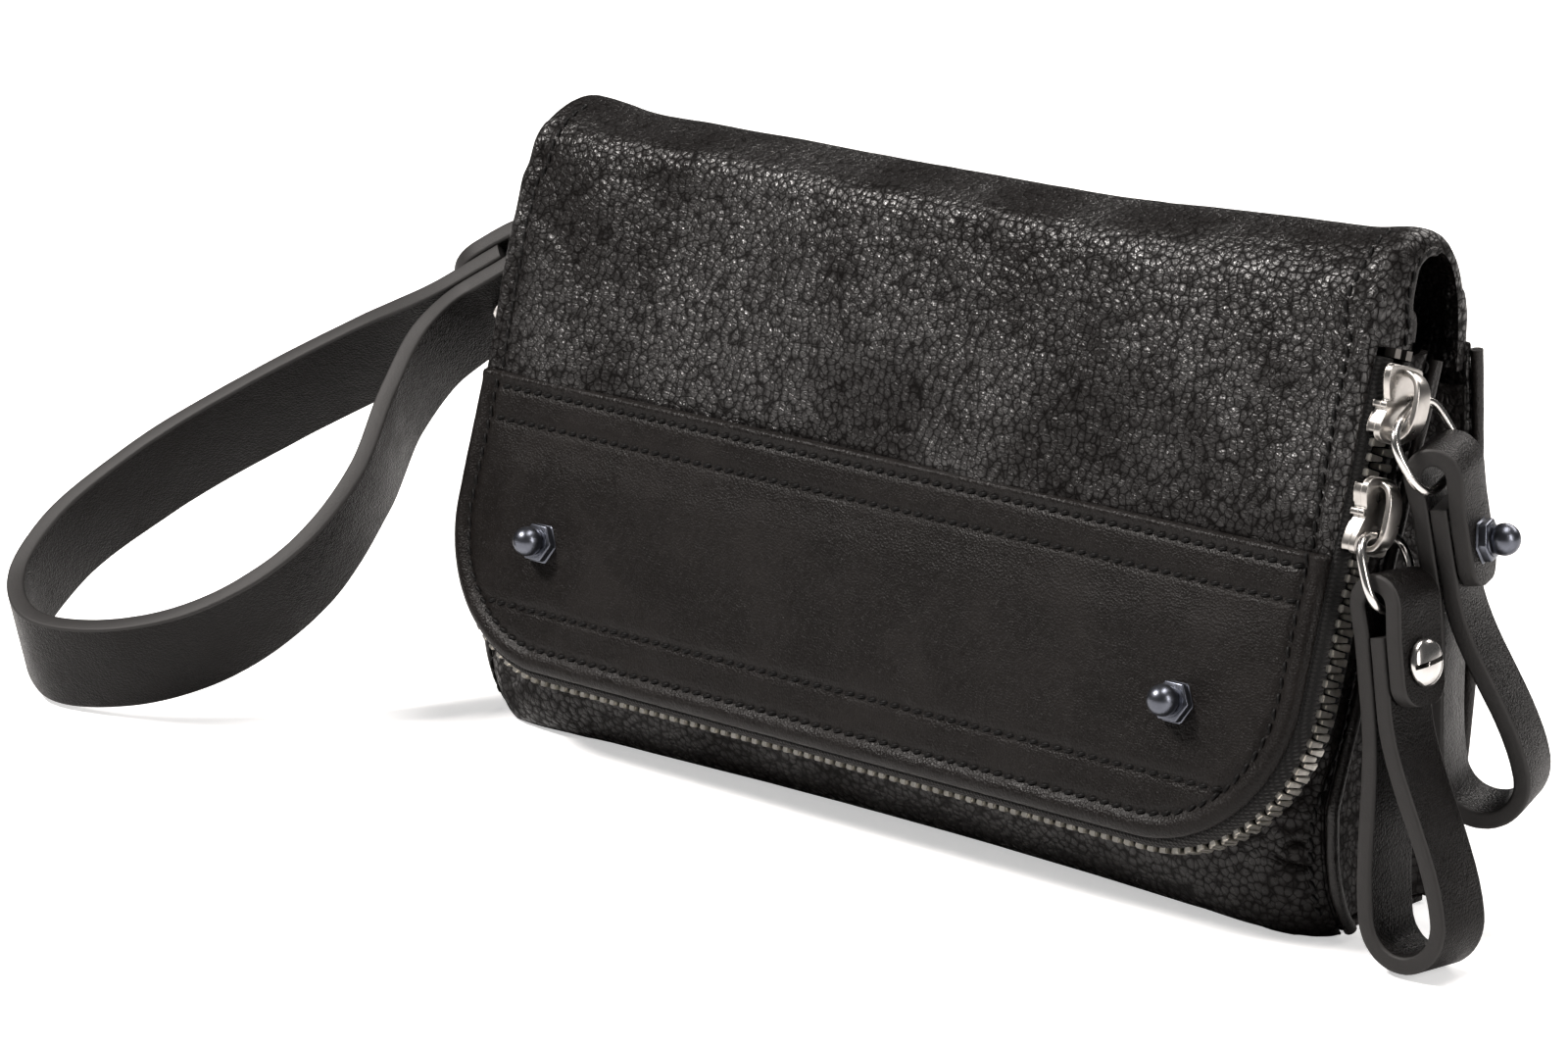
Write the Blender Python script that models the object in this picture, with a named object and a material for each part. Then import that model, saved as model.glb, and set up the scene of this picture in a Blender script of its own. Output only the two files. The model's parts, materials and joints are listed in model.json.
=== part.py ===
"""Wristlet wallet: a leather fold-over wallet with a U-shaped zip round its flap.

Metres, +Z up, X across the width, -Y towards the front. The origin is on the
table, at the middle of the base. The flap lies in a leaning plane with its own
axes: u across, w up the flap and q backwards into the wallet. The zip runs
round the flap's edge, on a chain that stands a little outside that edge.
"""
import math

import bmesh
import bpy
from mathutils import Matrix, Vector

MM = 0.001
GAP = 0.3 * MM

# wallet body
HALF_WIDTH = 99.35 * MM
FLAP_LEAN = math.radians(17.28)
FLAP_BASE_Y = -35.0 * MM
FLAP_BASE_Z = 14.56 * MM
BASE_FRONT_Y = -12.2 * MM
BASE_BACK_Y = 13.5 * MM
SHELL = 1.5 * MM

# flap outline in its own plane
FLAP_BOTTOM = 2.6 * MM
FLAP_TOP = 91.2 * MM
FLAP_RADIUS = 28.2 * MM
BAND_TOP = 55.5 * MM
BAND_LAP = 6.0 * MM
EDGE_WIDTH = 2.6 * MM

# layers of the flap, as depths q from front to back
BAND_Q = (-0.8 * MM, 0.2 * MM)
PANEL_Q = (0.5 * MM, 1.4 * MM)
LINING_Q = (1.7 * MM, 2.3 * MM)

# zip
ZIP_OFFSET = 1.2 * MM
ZIP_DEPTH = 5.4 * MM
TOOTH_PITCH = 2.54 * MM
TOOTH_LONG = 1.5 * MM
TOOTH_THICK = 2.2 * MM
SPINE_DEPTH = 0.7 * MM
ROW_HALF = 2.6 * MM
CHANNEL_HALF = 0.65 * MM
TAPE_THICK = 0.6 * MM
ZIP_TOP = 89.2 * MM

# sliders, rings and pulls
UPPER_SLIDER_W = 82.2 * MM
LOWER_SLIDER_W = 63.4 * MM
SLIDER_LONG = 13.0 * MM
SLIDER_WIDE = 9.2 * MM
PLATE_THICK = 1.1 * MM
UPPER_CROWN_RISE = 4.6 * MM
LOWER_CROWN_RISE = 3.6 * MM
CROWN_BAR = 1.1 * MM
CROWN_WIDE = 3.4 * MM
RING_WIRE = 0.8 * MM
UPPER_RING_HALF = 8.1 * MM
LOWER_RING_HALF = 7.7 * MM
RING_DROP = 13.2 * MM
PULL_WIDE = 11.8 * MM
PULL_THICK = 3.0 * MM
PULL_REACH = 59.7 * MM
UPPER_TAB_END = 18.0 * MM
LOWER_TAB_END = 15.5 * MM
HOLLOW_HALF = 2.2 * MM
HOLLOW_TOP = 4.0 * MM
PULL_BELLY = 7.4 * MM
SCREW_INSET = 7.2 * MM

# wrist strap
STRAP_WIDE = 19.0 * MM
STRAP_THICK = 3.4 * MM


def material(name, colour, roughness, metallic=0.0):
    made = bpy.data.materials.new(name)
    made.use_nodes = True
    shader = made.node_tree.nodes["Principled BSDF"]
    shader.inputs["Base Color"].default_value = (*colour, 1.0)
    shader.inputs["Roughness"].default_value = roughness
    shader.inputs["Metallic"].default_value = metallic
    return made


def leather(name, shade=0.016, roughness=0.5):
    return material(name, (shade, shade * 0.95, shade * 0.92), roughness)


def cloth(name, shade=0.02):
    return material(name, (shade, shade, shade * 1.05), 0.9)


def metal(name, colour, roughness):
    return material(name, colour, roughness, 1.0)


NICKEL = (0.62, 0.60, 0.57)
ANTIQUE = (0.42, 0.39, 0.35)
GUNMETAL = (0.13, 0.14, 0.17)


def add_object(name, vertices, faces, finish, smooth_angle=None):
    """One closed mesh, with its faces turned outwards."""
    mesh = bpy.data.meshes.new(name)
    mesh.from_pydata([tuple(v) for v in vertices], [], faces)
    work = bmesh.new()
    work.from_mesh(mesh)
    bmesh.ops.recalc_face_normals(work, faces=work.faces)
    work.to_mesh(mesh)
    work.free()
    if smooth_angle is not None:
        mesh.shade_smooth()
        mesh.set_sharp_from_angle(angle=math.radians(smooth_angle))
    made = bpy.data.objects.new(name, mesh)
    bpy.context.scene.collection.objects.link(made)
    if finish is not None:
        made.data.materials.append(finish)
    return made


def set_origin(made, point):
    """Moves the object's origin onto its joint's axis and leaves its shape in place."""
    made.data.transform(Matrix.Translation(-point))
    made.location = point


def as_cutter(made):
    made.hide_render = True
    made.display_type = "WIRE"
    return made


def boolean(target, other, operation):
    step = target.modifiers.new(other.name, "BOOLEAN")
    step.operation = operation
    step.solver = "EXACT"
    step.object = as_cutter(other)


def smooth_path(points, spans, steps):
    """A smooth curve through points: spans holds the length from each to the next."""
    slopes = [(b - a) / h for a, b, h in zip(points, points[1:], spans)]
    tangents = [slopes[0]]
    for k in range(1, len(slopes)):
        before, after = spans[k - 1], spans[k]
        tangents.append((slopes[k - 1] * after + slopes[k] * before) / (before + after))
    tangents.append(slopes[-1])
    path = []
    for k, h in enumerate(spans):
        start, end = points[k], points[k + 1]
        for step in range(steps):
            t = step / steps
            path.append(
                start * ((1 + 2 * t) * (1 - t) ** 2)
                + tangents[k] * (h * t * (1 - t) ** 2)
                + end * (t * t * (3 - 2 * t))
                + tangents[k + 1] * (h * t * t * (t - 1))
            )
    return [*path, points[-1]]


def swept(name, rings, finish, closed=False, smooth_angle=40):
    """Joins equal rings of points into one solid, as a loop or with capped ends."""
    size = len(rings[0])
    vertices = [p for ring in rings for p in ring]
    faces = []
    spans = len(rings) if closed else len(rings) - 1
    for k in range(spans):
        here, there = k * size, ((k + 1) % len(rings)) * size
        for j in range(size):
            n = (j + 1) % size
            faces.append((here + j, here + n, there + n, there + j))
    if not closed:
        faces.append(tuple(range(size)))
        faces.append(tuple(range(len(vertices) - size, len(vertices))))
    return add_object(name, vertices, faces, finish, smooth_angle)


def ribbon(name, centres, sides, half_widths, thick, finish):
    """A flat strap along centres, with sides giving the direction of its width."""
    rings = []
    for k, centre in enumerate(centres):
        ahead = centres[min(k + 1, len(centres) - 1)] - centres[max(k - 1, 0)]
        side = (sides[k] - ahead * (sides[k].dot(ahead) / ahead.length_squared)).normalized()
        up = ahead.cross(side).normalized() * (thick / 2)
        across = side * half_widths[k]
        rings.append(
            [centre + across + up, centre - across + up, centre - across - up, centre + across - up]
        )
    return swept(name, rings, finish, smooth_angle=35)


def sheet(name, rows, thick, finish, smooth_angle=50):
    """A curved sheet: rows of outer points, thickened towards the other side."""
    wide = len(rows[0])
    high = len(rows)

    def normal(r, c):
        across = rows[r][min(c + 1, wide - 1)] - rows[r][max(c - 1, 0)]
        along = rows[min(r + 1, high - 1)][c] - rows[max(r - 1, 0)][c]
        return across.cross(along).normalized()

    outer = [rows[r][c] for r in range(high) for c in range(wide)]
    inner = [rows[r][c] + normal(r, c) * thick for r in range(high) for c in range(wide)]
    count = high * wide
    faces = []
    for r in range(high - 1):
        for c in range(wide - 1):
            a, b = r * wide + c, r * wide + c + 1
            d, e = a + wide, b + wide
            faces.append((a, b, e, d))
            faces.append((a + count, d + count, e + count, b + count))
    rim = [c for c in range(wide)]
    rim += [r * wide + wide - 1 for r in range(1, high)]
    rim += [(high - 1) * wide + c for c in range(wide - 2, -1, -1)]
    rim += [r * wide for r in range(high - 2, 0, -1)]
    for k, a in enumerate(rim):
        b = rim[(k + 1) % len(rim)]
        faces.append((a, a + count, b + count, b))
    return add_object(name, outer + inner, faces, finish, smooth_angle)


def prism(name, outline, place, near, far, finish, smooth_angle=30):
    """A flat outline, pushed from near to far. place(a, b, depth) gives each point."""
    rings = [[place(a, b, depth) for a, b in outline] for depth in (near, far)]
    return swept(name, rings, finish, smooth_angle=smooth_angle)


def frame_place(centre, first, second, third):
    return lambda a, b, c: centre + first * a + second * b + third * c


def disc(radius, sides, turn=0.0):
    steps = [2 * math.pi * (k + turn) / sides for k in range(sides)]
    return [(radius * math.cos(a), radius * math.sin(a)) for a in steps]


def rod(name, centre, axis, side, radius, near, far, finish, sides=12):
    """A round rod from near to far along axis."""
    other = axis.cross(side).normalized()
    place = frame_place(centre, side.normalized(), other, axis)
    return prism(name, disc(radius, sides), place, near, far, finish)


def turned(name, centre, axis, side, profile, finish, sides=12):
    """A turned piece: profile lists (height, radius), and ends on the axis at its top."""
    other = axis.cross(side).normalized()
    side = side.normalized()
    rings = [
        [centre + axis * h + side * (r * x) + other * (r * y) for x, y in disc(1.0, sides)]
        for h, r in profile
    ]
    return swept(name, rings, finish)


# ---------------------------------------------------------------- the leaning flap plane

U = Vector((1, 0, 0))
W = Vector((0, math.sin(FLAP_LEAN), math.cos(FLAP_LEAN)))
Q = Vector((0, math.cos(FLAP_LEAN), -math.sin(FLAP_LEAN)))
FLAP_ORIGIN = Vector((0, FLAP_BASE_Y, FLAP_BASE_Z))


def on_flap(u, w, q=0.0):
    return FLAP_ORIGIN + U * u + W * w + Q * q


HINGE_POINT = on_flap(0, FLAP_TOP, PANEL_Q[0])


def u_stations(top, arc_steps=7, side_steps=2, base_steps=4, trim=0.0):
    """Points (u, w) and outward normals along the U from the right end to the left end."""
    half, low, radius = HALF_WIDTH - trim, FLAP_BOTTOM + trim, FLAP_RADIUS - trim
    bend_w, bend_u = low + radius, half - radius
    stations = []
    for k in range(side_steps):
        stations.append((half, top + (bend_w - top) * k / side_steps, 1.0, 0.0))
    for k in range(arc_steps + 1):
        a = math.pi / 2 * k / arc_steps
        c, s = math.cos(a), math.sin(a)
        stations.append((bend_u + radius * c, bend_w - radius * s, c, -s))
    for k in range(1, base_steps // 2 + 1):
        stations.append((bend_u * (1 - 2 * k / base_steps), low, 0.0, -1.0))
    mirrored = [(-u, w, -a, b) for u, w, a, b in reversed(stations[:-1])]
    return stations + mirrored


def u_sweep(name, section, finish, top, trim=0.0, **steps):
    """Sweeps a section of (offset outwards, depth q) points along the U."""
    rings = [
        [on_flap(u + a * o, w + b * o, q) for o, q in section]
        for u, w, a, b in u_stations(top, trim=trim, **steps)
    ]
    return swept(name, rings, finish, smooth_angle=50)


def u_outline(top, trim):
    """The closed outline of the flap, trimmed in from its edge and cut off at top."""
    return [(u, w) for u, w, _, _ in u_stations(top, side_steps=1, base_steps=2, trim=trim)]


# ---------------------------------------------------------------- flap

STUD_U = 75.2 * MM
STUD_W = 26.1 * MM
STUD_POST = 1.5 * MM
STUD_HOLE = 1.8 * MM


def stud_hole(name, side):
    at = on_flap(side * STUD_U, STUD_W)
    return rod(name, at, Q, U, STUD_HOLE, -3 * MM, 5 * MM, None)


def build_flap():
    trim = EDGE_WIDTH + GAP
    flat = frame_place(FLAP_ORIGIN, U, W, Q)
    inner_half = HALF_WIDTH - trim
    panel = [
        (inner_half, FLAP_TOP),
        (inner_half, BAND_TOP - BAND_LAP),
        (-inner_half, BAND_TOP - BAND_LAP),
        (-inner_half, FLAP_TOP),
    ]
    grain = leather("pebbled_leather")
    smooth = leather("smooth_leather", 0.013, 0.45)
    holes = [stud_hole("stud_hole_right", 1), stud_hole("stud_hole_left", -1)]
    prism("flap_panel", panel, flat, *PANEL_Q, grain)
    band = prism("flap_band", u_outline(BAND_TOP, 0.0), flat, *BAND_Q, smooth)
    board_top = BAND_TOP - BAND_LAP - GAP
    board_finish = material("fibre_board", (0.09, 0.06, 0.04), 0.85)
    board = prism("flap_board", u_outline(board_top, trim), flat, *PANEL_Q, board_finish)
    lining = prism(
        "flap_lining", u_outline(FLAP_TOP - 1.2 * MM, trim), flat, *LINING_Q, cloth("lining")
    )
    for layer in (band, board, lining):
        for hole in holes:
            boolean(layer, hole, "DIFFERENCE")
    edge_section = [
        (-EDGE_WIDTH, PANEL_Q[0]),
        (-0.5 * MM, PANEL_Q[0]),
        (0.0, PANEL_Q[0] + 0.5 * MM),
        (-0.3 * MM, PANEL_Q[1]),
        (-EDGE_WIDTH, PANEL_Q[1]),
    ]
    u_sweep("flap_edge_binding", edge_section, leather("binding", 0.014, 0.42), FLAP_TOP)


def build_flap_stud(side, word):
    """A ball stud: hexagonal foot, neck and ball, with a post through to a round nut."""
    at = on_flap(side * STUD_U, STUD_W, BAND_Q[0] - GAP)
    dark = metal("gunmetal_" + word, GUNMETAL, 0.25)
    ball_stud("flap_stud_" + word, at, -Q, U, LINING_Q[1] - BAND_Q[0] + 1.9 * MM, dark)
    nut_at = on_flap(side * STUD_U, STUD_W, LINING_Q[1] + GAP)
    round_nut("flap_stud_nut_" + word, nut_at, Q, U, dark)


def ball_stud(name, foot, axis, side, post_long, finish):
    """foot is the middle of the hexagon's lower face, and axis points away from the leather."""
    other = axis.cross(side).normalized()
    place = frame_place(foot, side.normalized(), other, axis)
    hexagon = prism(name, disc(3.8 * MM, 6), place, 0.0, 2.1 * MM, finish)
    ball_radius = 2.45 * MM
    ball_height = 4.6 * MM
    profile = [(1.2 * MM, 1.3 * MM), (2.4 * MM, 1.3 * MM)]
    for k in range(1, 6):
        a = -math.pi / 2 + math.pi * (k + 0.35) / 6.35
        profile.append((ball_height + ball_radius * math.sin(a), ball_radius * math.cos(a)))
    ball = turned(name + "_ball", foot, axis, side, profile, None, sides=12)
    post = rod(name + "_post", foot, axis, side, STUD_POST, -post_long, 1.0 * MM, None, sides=10)
    boolean(hexagon, ball, "UNION")
    boolean(hexagon, post, "UNION")
    return hexagon


def round_nut(name, at, axis, side, finish, radius=3.3 * MM):
    """A flat round nut with the stud's post through its hole, lying on the inner face."""
    other = axis.cross(side).normalized()
    side = side.normalized()
    thick = 1.0 * MM
    levels = [(STUD_HOLE, 0.0), (radius, 0.0), (radius, thick * 0.6), (radius - 0.5 * MM, thick)]
    levels.append((STUD_HOLE, thick))
    rings = []
    for x, y in disc(1.0, 14):
        out = side * x + other * y
        rings.append([at + out * r + axis * h for r, h in levels])
    return swept(name, rings, finish, closed=True)


# ---------------------------------------------------------------- zip


def tooth_row(name, sign, finish):
    """A row of teeth on its spine: sign -1 for the flap's row and +1 for the wallet's."""
    half, low = HALF_WIDTH + ZIP_OFFSET, FLAP_BOTTOM - ZIP_OFFSET
    radius = FLAP_RADIUS + ZIP_OFFSET
    bend_w, bend_u = low + radius, half - radius
    side_long = ZIP_TOP - bend_w
    arc_long = radius * math.pi / 2
    total = 2 * (side_long + arc_long + bend_u)

    def at(s):
        mirror = 1.0
        if s > total / 2:
            s, mirror = total - s, -1.0
        if s < side_long:
            return mirror * half, ZIP_TOP - s, mirror, 0.0
        s -= side_long
        if s < arc_long:
            a = s / radius
            c, n = math.cos(a), math.sin(a)
            return mirror * (bend_u + radius * c), bend_w - radius * n, mirror * c, -n
        return mirror * (bend_u - (s - arc_long)), low, 0.0, -1.0

    outer_q = ZIP_DEPTH + sign * ROW_HALF
    spine_q = ZIP_DEPTH + sign * (ROW_HALF - SPINE_DEPTH)
    tip_q = ZIP_DEPTH + sign * CHANNEL_HALF
    count = int(total / TOOTH_PITCH)
    start = (total - count * TOOTH_PITCH) / 2 + (TOOTH_PITCH / 2 if sign > 0 else 0.0)
    count -= 1 if sign > 0 else 0
    vertices, faces = [], []
    column = []

    def station(s, inner_q):
        u, w, a, b = at(s)
        base = len(vertices)
        for o in (TOOTH_THICK / 2, -TOOTH_THICK / 2):
            for q in (outer_q, spine_q, inner_q):
                vertices.append(on_flap(u + a * o, w + b * o, q))
        return base

    for k in range(count):
        s = start + k * TOOTH_PITCH
        column.append((station(s, tip_q), True))
        column.append((station(s + TOOTH_LONG, tip_q), False))
    for k, (base, toothed) in enumerate(column):
        last = k == len(column) - 1
        if toothed:
            faces.append((base + 1, base + 2, base + 5, base + 4))
        else:
            faces.append((base + 1, base + 4, base + 5, base + 2))
        if last:
            break
        nxt = column[k + 1][0]
        faces.append((base, base + 1, nxt + 1, nxt))
        faces.append((base + 3, nxt + 3, nxt + 4, base + 4))
        faces.append((base, nxt, nxt + 3, base + 3))
        if toothed:
            faces.append((base + 1, base + 2, nxt + 2, nxt + 1))
            faces.append((base + 4, nxt + 4, nxt + 5, base + 5))
            faces.append((base + 2, base + 5, nxt + 5, nxt + 2))
        else:
            faces.append((base + 1, nxt + 1, nxt + 4, base + 4))
    first, final = column[0][0], column[-1][0]
    faces.append((first, first + 3, first + 4, first + 1))
    faces.append((final, final + 1, final + 4, final + 3))
    return add_object(name, vertices, faces, finish)


def build_zip():
    antique = metal("antique_silver", ANTIQUE, 0.35)
    tape = cloth("zip_tape")
    tooth_row("flap_zip_teeth", -1, antique)
    tooth_row("body_zip_teeth", 1, antique)
    half = TAPE_THICK / 2
    near_q = ZIP_DEPTH - ROW_HALF - GAP
    far_q = ZIP_DEPTH + ROW_HALF + GAP
    flap_section = [
        (ZIP_OFFSET + half, near_q),
        (ZIP_OFFSET - half, near_q),
        (0.0, LINING_Q[1]),
        (-EDGE_WIDTH, LINING_Q[1]),
        (-EDGE_WIDTH, LINING_Q[0]),
        (0.3 * MM, LINING_Q[0]),
    ]
    u_sweep("flap_zip_tape", flap_section, tape, ZIP_TOP)
    tape_end = far_q + 1.5 * MM
    body_section = [
        (ZIP_OFFSET + half, far_q),
        (ZIP_OFFSET - half, far_q),
        (-half, tape_end),
        (half, tape_end),
    ]
    u_sweep("body_zip_tape", body_section, tape, ZIP_TOP)
    for side, word in ((1, "right"), (-1, "left")):
        for sign, owner in ((-1, "flap"), (1, "body")):
            at = on_flap(side * (HALF_WIDTH + ZIP_OFFSET), ZIP_TOP + 1.3 * MM)
            at += Q * (ZIP_DEPTH + sign * 1.6 * MM)
            place = frame_place(at, Q, W, U)
            edge = 0.8 * MM
            block = [(-edge, -edge), (edge, -edge), (edge, edge), (-edge, edge)]
            name = f"{owner}_zip_stop_{word}"
            prism(name, block, place, -1.05 * MM, 1.05 * MM, antique)


# ---------------------------------------------------------------- wallet body


def seam_y(z):
    """Depth of the front seam along the gusset at height z."""
    turn_z, turn_y = 24 * MM, -19.0 * MM
    if z < turn_z:
        return turn_y + (BASE_FRONT_Y - turn_y) * ((turn_z - z) / turn_z) ** 3
    return turn_y + (z - turn_z) * 0.35


def back_y(z):
    """Depth of the back panel's outer face: it bellies out from base to top."""
    t = min(max(z / (98 * MM), 0.0), 1.0)
    bulge = 6.2 * MM * math.sin(math.pi * t) ** 0.8 * (1 - 0.45 * t)
    return BASE_BACK_Y + 6.3 * MM * t + bulge


def build_front():
    """Front leather: a U-shaped strip from the zip's rear tape back to the seam and base."""
    rear_q = ZIP_DEPTH + ROW_HALF + 2.2 * MM
    edge = u_stations(FLAP_TOP - 1.0 * MM, arc_steps=8, side_steps=4, base_steps=8)
    side_count, arc_count = 4, 8
    top_z, knee_z = 98 * MM, 41 * MM
    corner_x, inner_x = HALF_WIDTH - 0.4 * MM, 91 * MM
    half_row = len(edge) // 2

    def seam_point(k):
        if k < side_count:
            z = top_z + (knee_z - top_z) * k / side_count
            return Vector((corner_x, seam_y(z), z))
        k -= side_count
        if k <= arc_count:
            t = k / arc_count
            z = knee_z * max(0.0, 1 - (t / 0.85) ** 1.5)
            x = corner_x - (corner_x - inner_x) * max(0.0, (t - 0.85) / 0.15)
            return Vector((x, seam_y(z), z))
        k -= arc_count
        return Vector((inner_x * (1 - k / 4), BASE_FRONT_Y, 0.0))

    rows = []
    for k, (u, w, a, b) in enumerate(edge):
        mirror = k > half_row
        seam = seam_point(len(edge) - 1 - k if mirror else k)
        if mirror:
            seam.x = -seam.x
        start = on_flap(u + a * 0.4 * MM, w + b * 0.4 * MM, rear_q)
        outward = (U * a + W * b).normalized()
        span = (seam - start).length
        row = []
        for j in range(5):
            t = j / 4
            bulge = outward * (span * 0.17 * math.sin(math.pi * t))
            point = start.lerp(seam, t) + bulge
            point.z = max(point.z, 0.0)
            row.append(point)
        rows.append(row)
    sheet("front_panel", rows, 1.3 * MM, leather("front_leather"))


def build_back():
    heights = [0.9, 6, 14, 26, 42, 60, 78, 90, 97.5]
    columns = [-1.0, -0.5, 0.0, 0.5, 1.0]
    rows = [[Vector((HALF_WIDTH * c, back_y(z * MM), z * MM)) for c in columns] for z in heights]
    sheet("back_panel", rows, SHELL, leather("back_leather"))
    lining_heights = [4, 20, 42, 66, 90]
    lining_half = 88 * MM
    rows = [
        [Vector((lining_half * c, back_y(z * MM) - SHELL - 0.6 * MM, z * MM)) for c in (-1, 0, 1)]
        for z in lining_heights
    ]
    sheet("back_lining", rows, 0.7 * MM, cloth("lining_back"))


def build_base():
    inset = 1.6 * MM
    corner = HALF_WIDTH - inset
    front = BASE_FRONT_Y + 1.9 * MM
    back = BASE_BACK_Y - 2.0 * MM
    outline = [(corner, front), (corner, back), (-corner, back), (-corner, front)]
    place = frame_place(Vector((0, 0, 0)), U, Vector((0, 1, 0)), Vector((0, 0, 1)))
    prism("base_panel", outline, place, 0.0, 1.5 * MM, leather("base_leather"))


def build_gusset(side, word):
    """The folded side wall between the front seam and the back panel."""
    rows = []
    columns = 6
    for z_mm in (5, 11, 20, 32, 50, 70, 80, 89):
        z = z_mm * MM
        front = seam_y(z) + 2.4 * MM
        back = back_y(z) - SHELL - 1.4 * MM
        fold = (3.0 + 6.5 * min(1.0, z_mm / 60)) * MM
        row = []
        for c in range(columns + 1):
            t = c / columns
            inwards = fold * math.sin(math.pi * t) ** 0.8
            row.append(Vector((side * (HALF_WIDTH - 0.5 * MM - inwards), front + (back - front) * t, z)))
        rows.append(row)
    sheet(f"gusset_{word}", rows, -side * 1.1 * MM, leather("gusset_leather_" + word, 0.012, 0.6))


def build_seam_piping(side, word):
    """Rolled leather piping along the gusset's two seams."""
    radius = 1.1 * MM
    finish = leather("piping_" + word, 0.014, 0.45)
    for place, depth in (("front", seam_y), ("back", back_y)):
        rings = []
        for z_mm in (1.3, 4, 8, 13, 19, 26, 38, 52, 68, 84, 96.5):
            z = z_mm * MM
            y = depth(z) + (1.5 * MM if place == "front" else -1.0 * MM)
            centre = Vector((side * (HALF_WIDTH + radius), y, z))
            rings.append([centre + Vector((x, v, 0)) for x, v in disc(radius, 6, 0.5)])
        swept(f"{place}_piping_{word}", rings, finish, smooth_angle=80)


def build_top_fold():
    """Leather from the flap's hinge line over the crest to the back, with side wings."""
    start = on_flap(0, FLAP_TOP + GAP, PANEL_Q[0])
    profile = [
        start,
        on_flap(0, FLAP_TOP + 5.0 * MM, PANEL_Q[0]),
        on_flap(0, FLAP_TOP + 9.5 * MM, PANEL_Q[0] + 0.4 * MM),
        Vector((0, 0.2 * MM, 115.2 * MM)),
        Vector((0, 4.2 * MM, 116.8 * MM)),
        Vector((0, 8.6 * MM, 117.0 * MM)),
        Vector((0, 12.6 * MM, 115.6 * MM)),
        Vector((0, 15.6 * MM, 112.0 * MM)),
        Vector((0, 17.2 * MM, 106.5 * MM)),
        Vector((0, 17.8 * MM, 100.0 * MM)),
        Vector((0, 17.6 * MM, 93.0 * MM)),
    ]
    wing_depths = [11.0, 10.2, 8.6, 6.2, 4.4, 3.6, 3.4, 3.4, 3.4, 3.4, 3.4]
    rows = []
    for k, (point, depth) in enumerate(zip(profile, wing_depths)):
        ahead = profile[min(k + 1, len(profile) - 1)] - profile[max(k - 1, 0)]
        inward = Vector((0, ahead.z, -ahead.y)).normalized()
        turn = 1.4 * MM
        half = [
            (HALF_WIDTH + 0.1 * MM, depth * MM),
            (HALF_WIDTH + 0.1 * MM, max(depth * 0.55 * MM, 1.3 * turn)),
            (HALF_WIDTH, turn * 0.8),
            (HALF_WIDTH - turn, 0.0),
            (HALF_WIDTH * 0.55, 0.0),
        ]
        row = [point + U * x + inward * d for x, d in half]
        row.append(point.copy())
        row += [point - U * x + inward * d for x, d in reversed(half)]
        rows.append(row)
    sheet("top_fold", rows, SHELL * 0.9, leather("top_leather"))


# ---------------------------------------------------------------- inside

DIVIDER_FOOT = Vector((0, -8.0 * MM, 3.0 * MM))
DIVIDER_LEAN = math.atan2(13.0, 85.0)
CARD_WIDE = 87.0 * MM
POCKET_THICK = 0.8 * MM


def build_inside():
    """A divider across the wallet, with two columns of card pockets on its front."""
    up = Vector((0, math.sin(DIVIDER_LEAN), math.cos(DIVIDER_LEAN)))
    forward = Vector((0, -math.cos(DIVIDER_LEAN), math.sin(DIVIDER_LEAN)))
    place = frame_place(DIVIDER_FOOT, U, up, forward)
    half = CARD_WIDE + 0.6 * MM
    divider = [(half, 0), (half, 86 * MM), (-half, 86 * MM), (-half, 0)]
    prism("divider", divider, place, -1.0 * MM, 0.0, leather("divider_leather", 0.02, 0.6))
    pocket_tops = (46 * MM, 58 * MM, 70 * MM)
    finish = leather("pocket_leather", 0.018, 0.5)
    for side, word in ((1, "right"), (-1, "left")):
        for k, top in enumerate(pocket_tops):
            near = GAP + (2 - k) * (POCKET_THICK + GAP)
            low = 5 * MM
            edges = sorted((side * 0.4 * MM, side * CARD_WIDE))
            outline = [(edges[0], low), (edges[1], low), (edges[1], top), (edges[0], top)]
            name = f"card_pocket_{word}_{k + 1}"
            prism(name, outline, place, near, near + POCKET_THICK, finish)


# ---------------------------------------------------------------- sliders, rings and pulls


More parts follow.
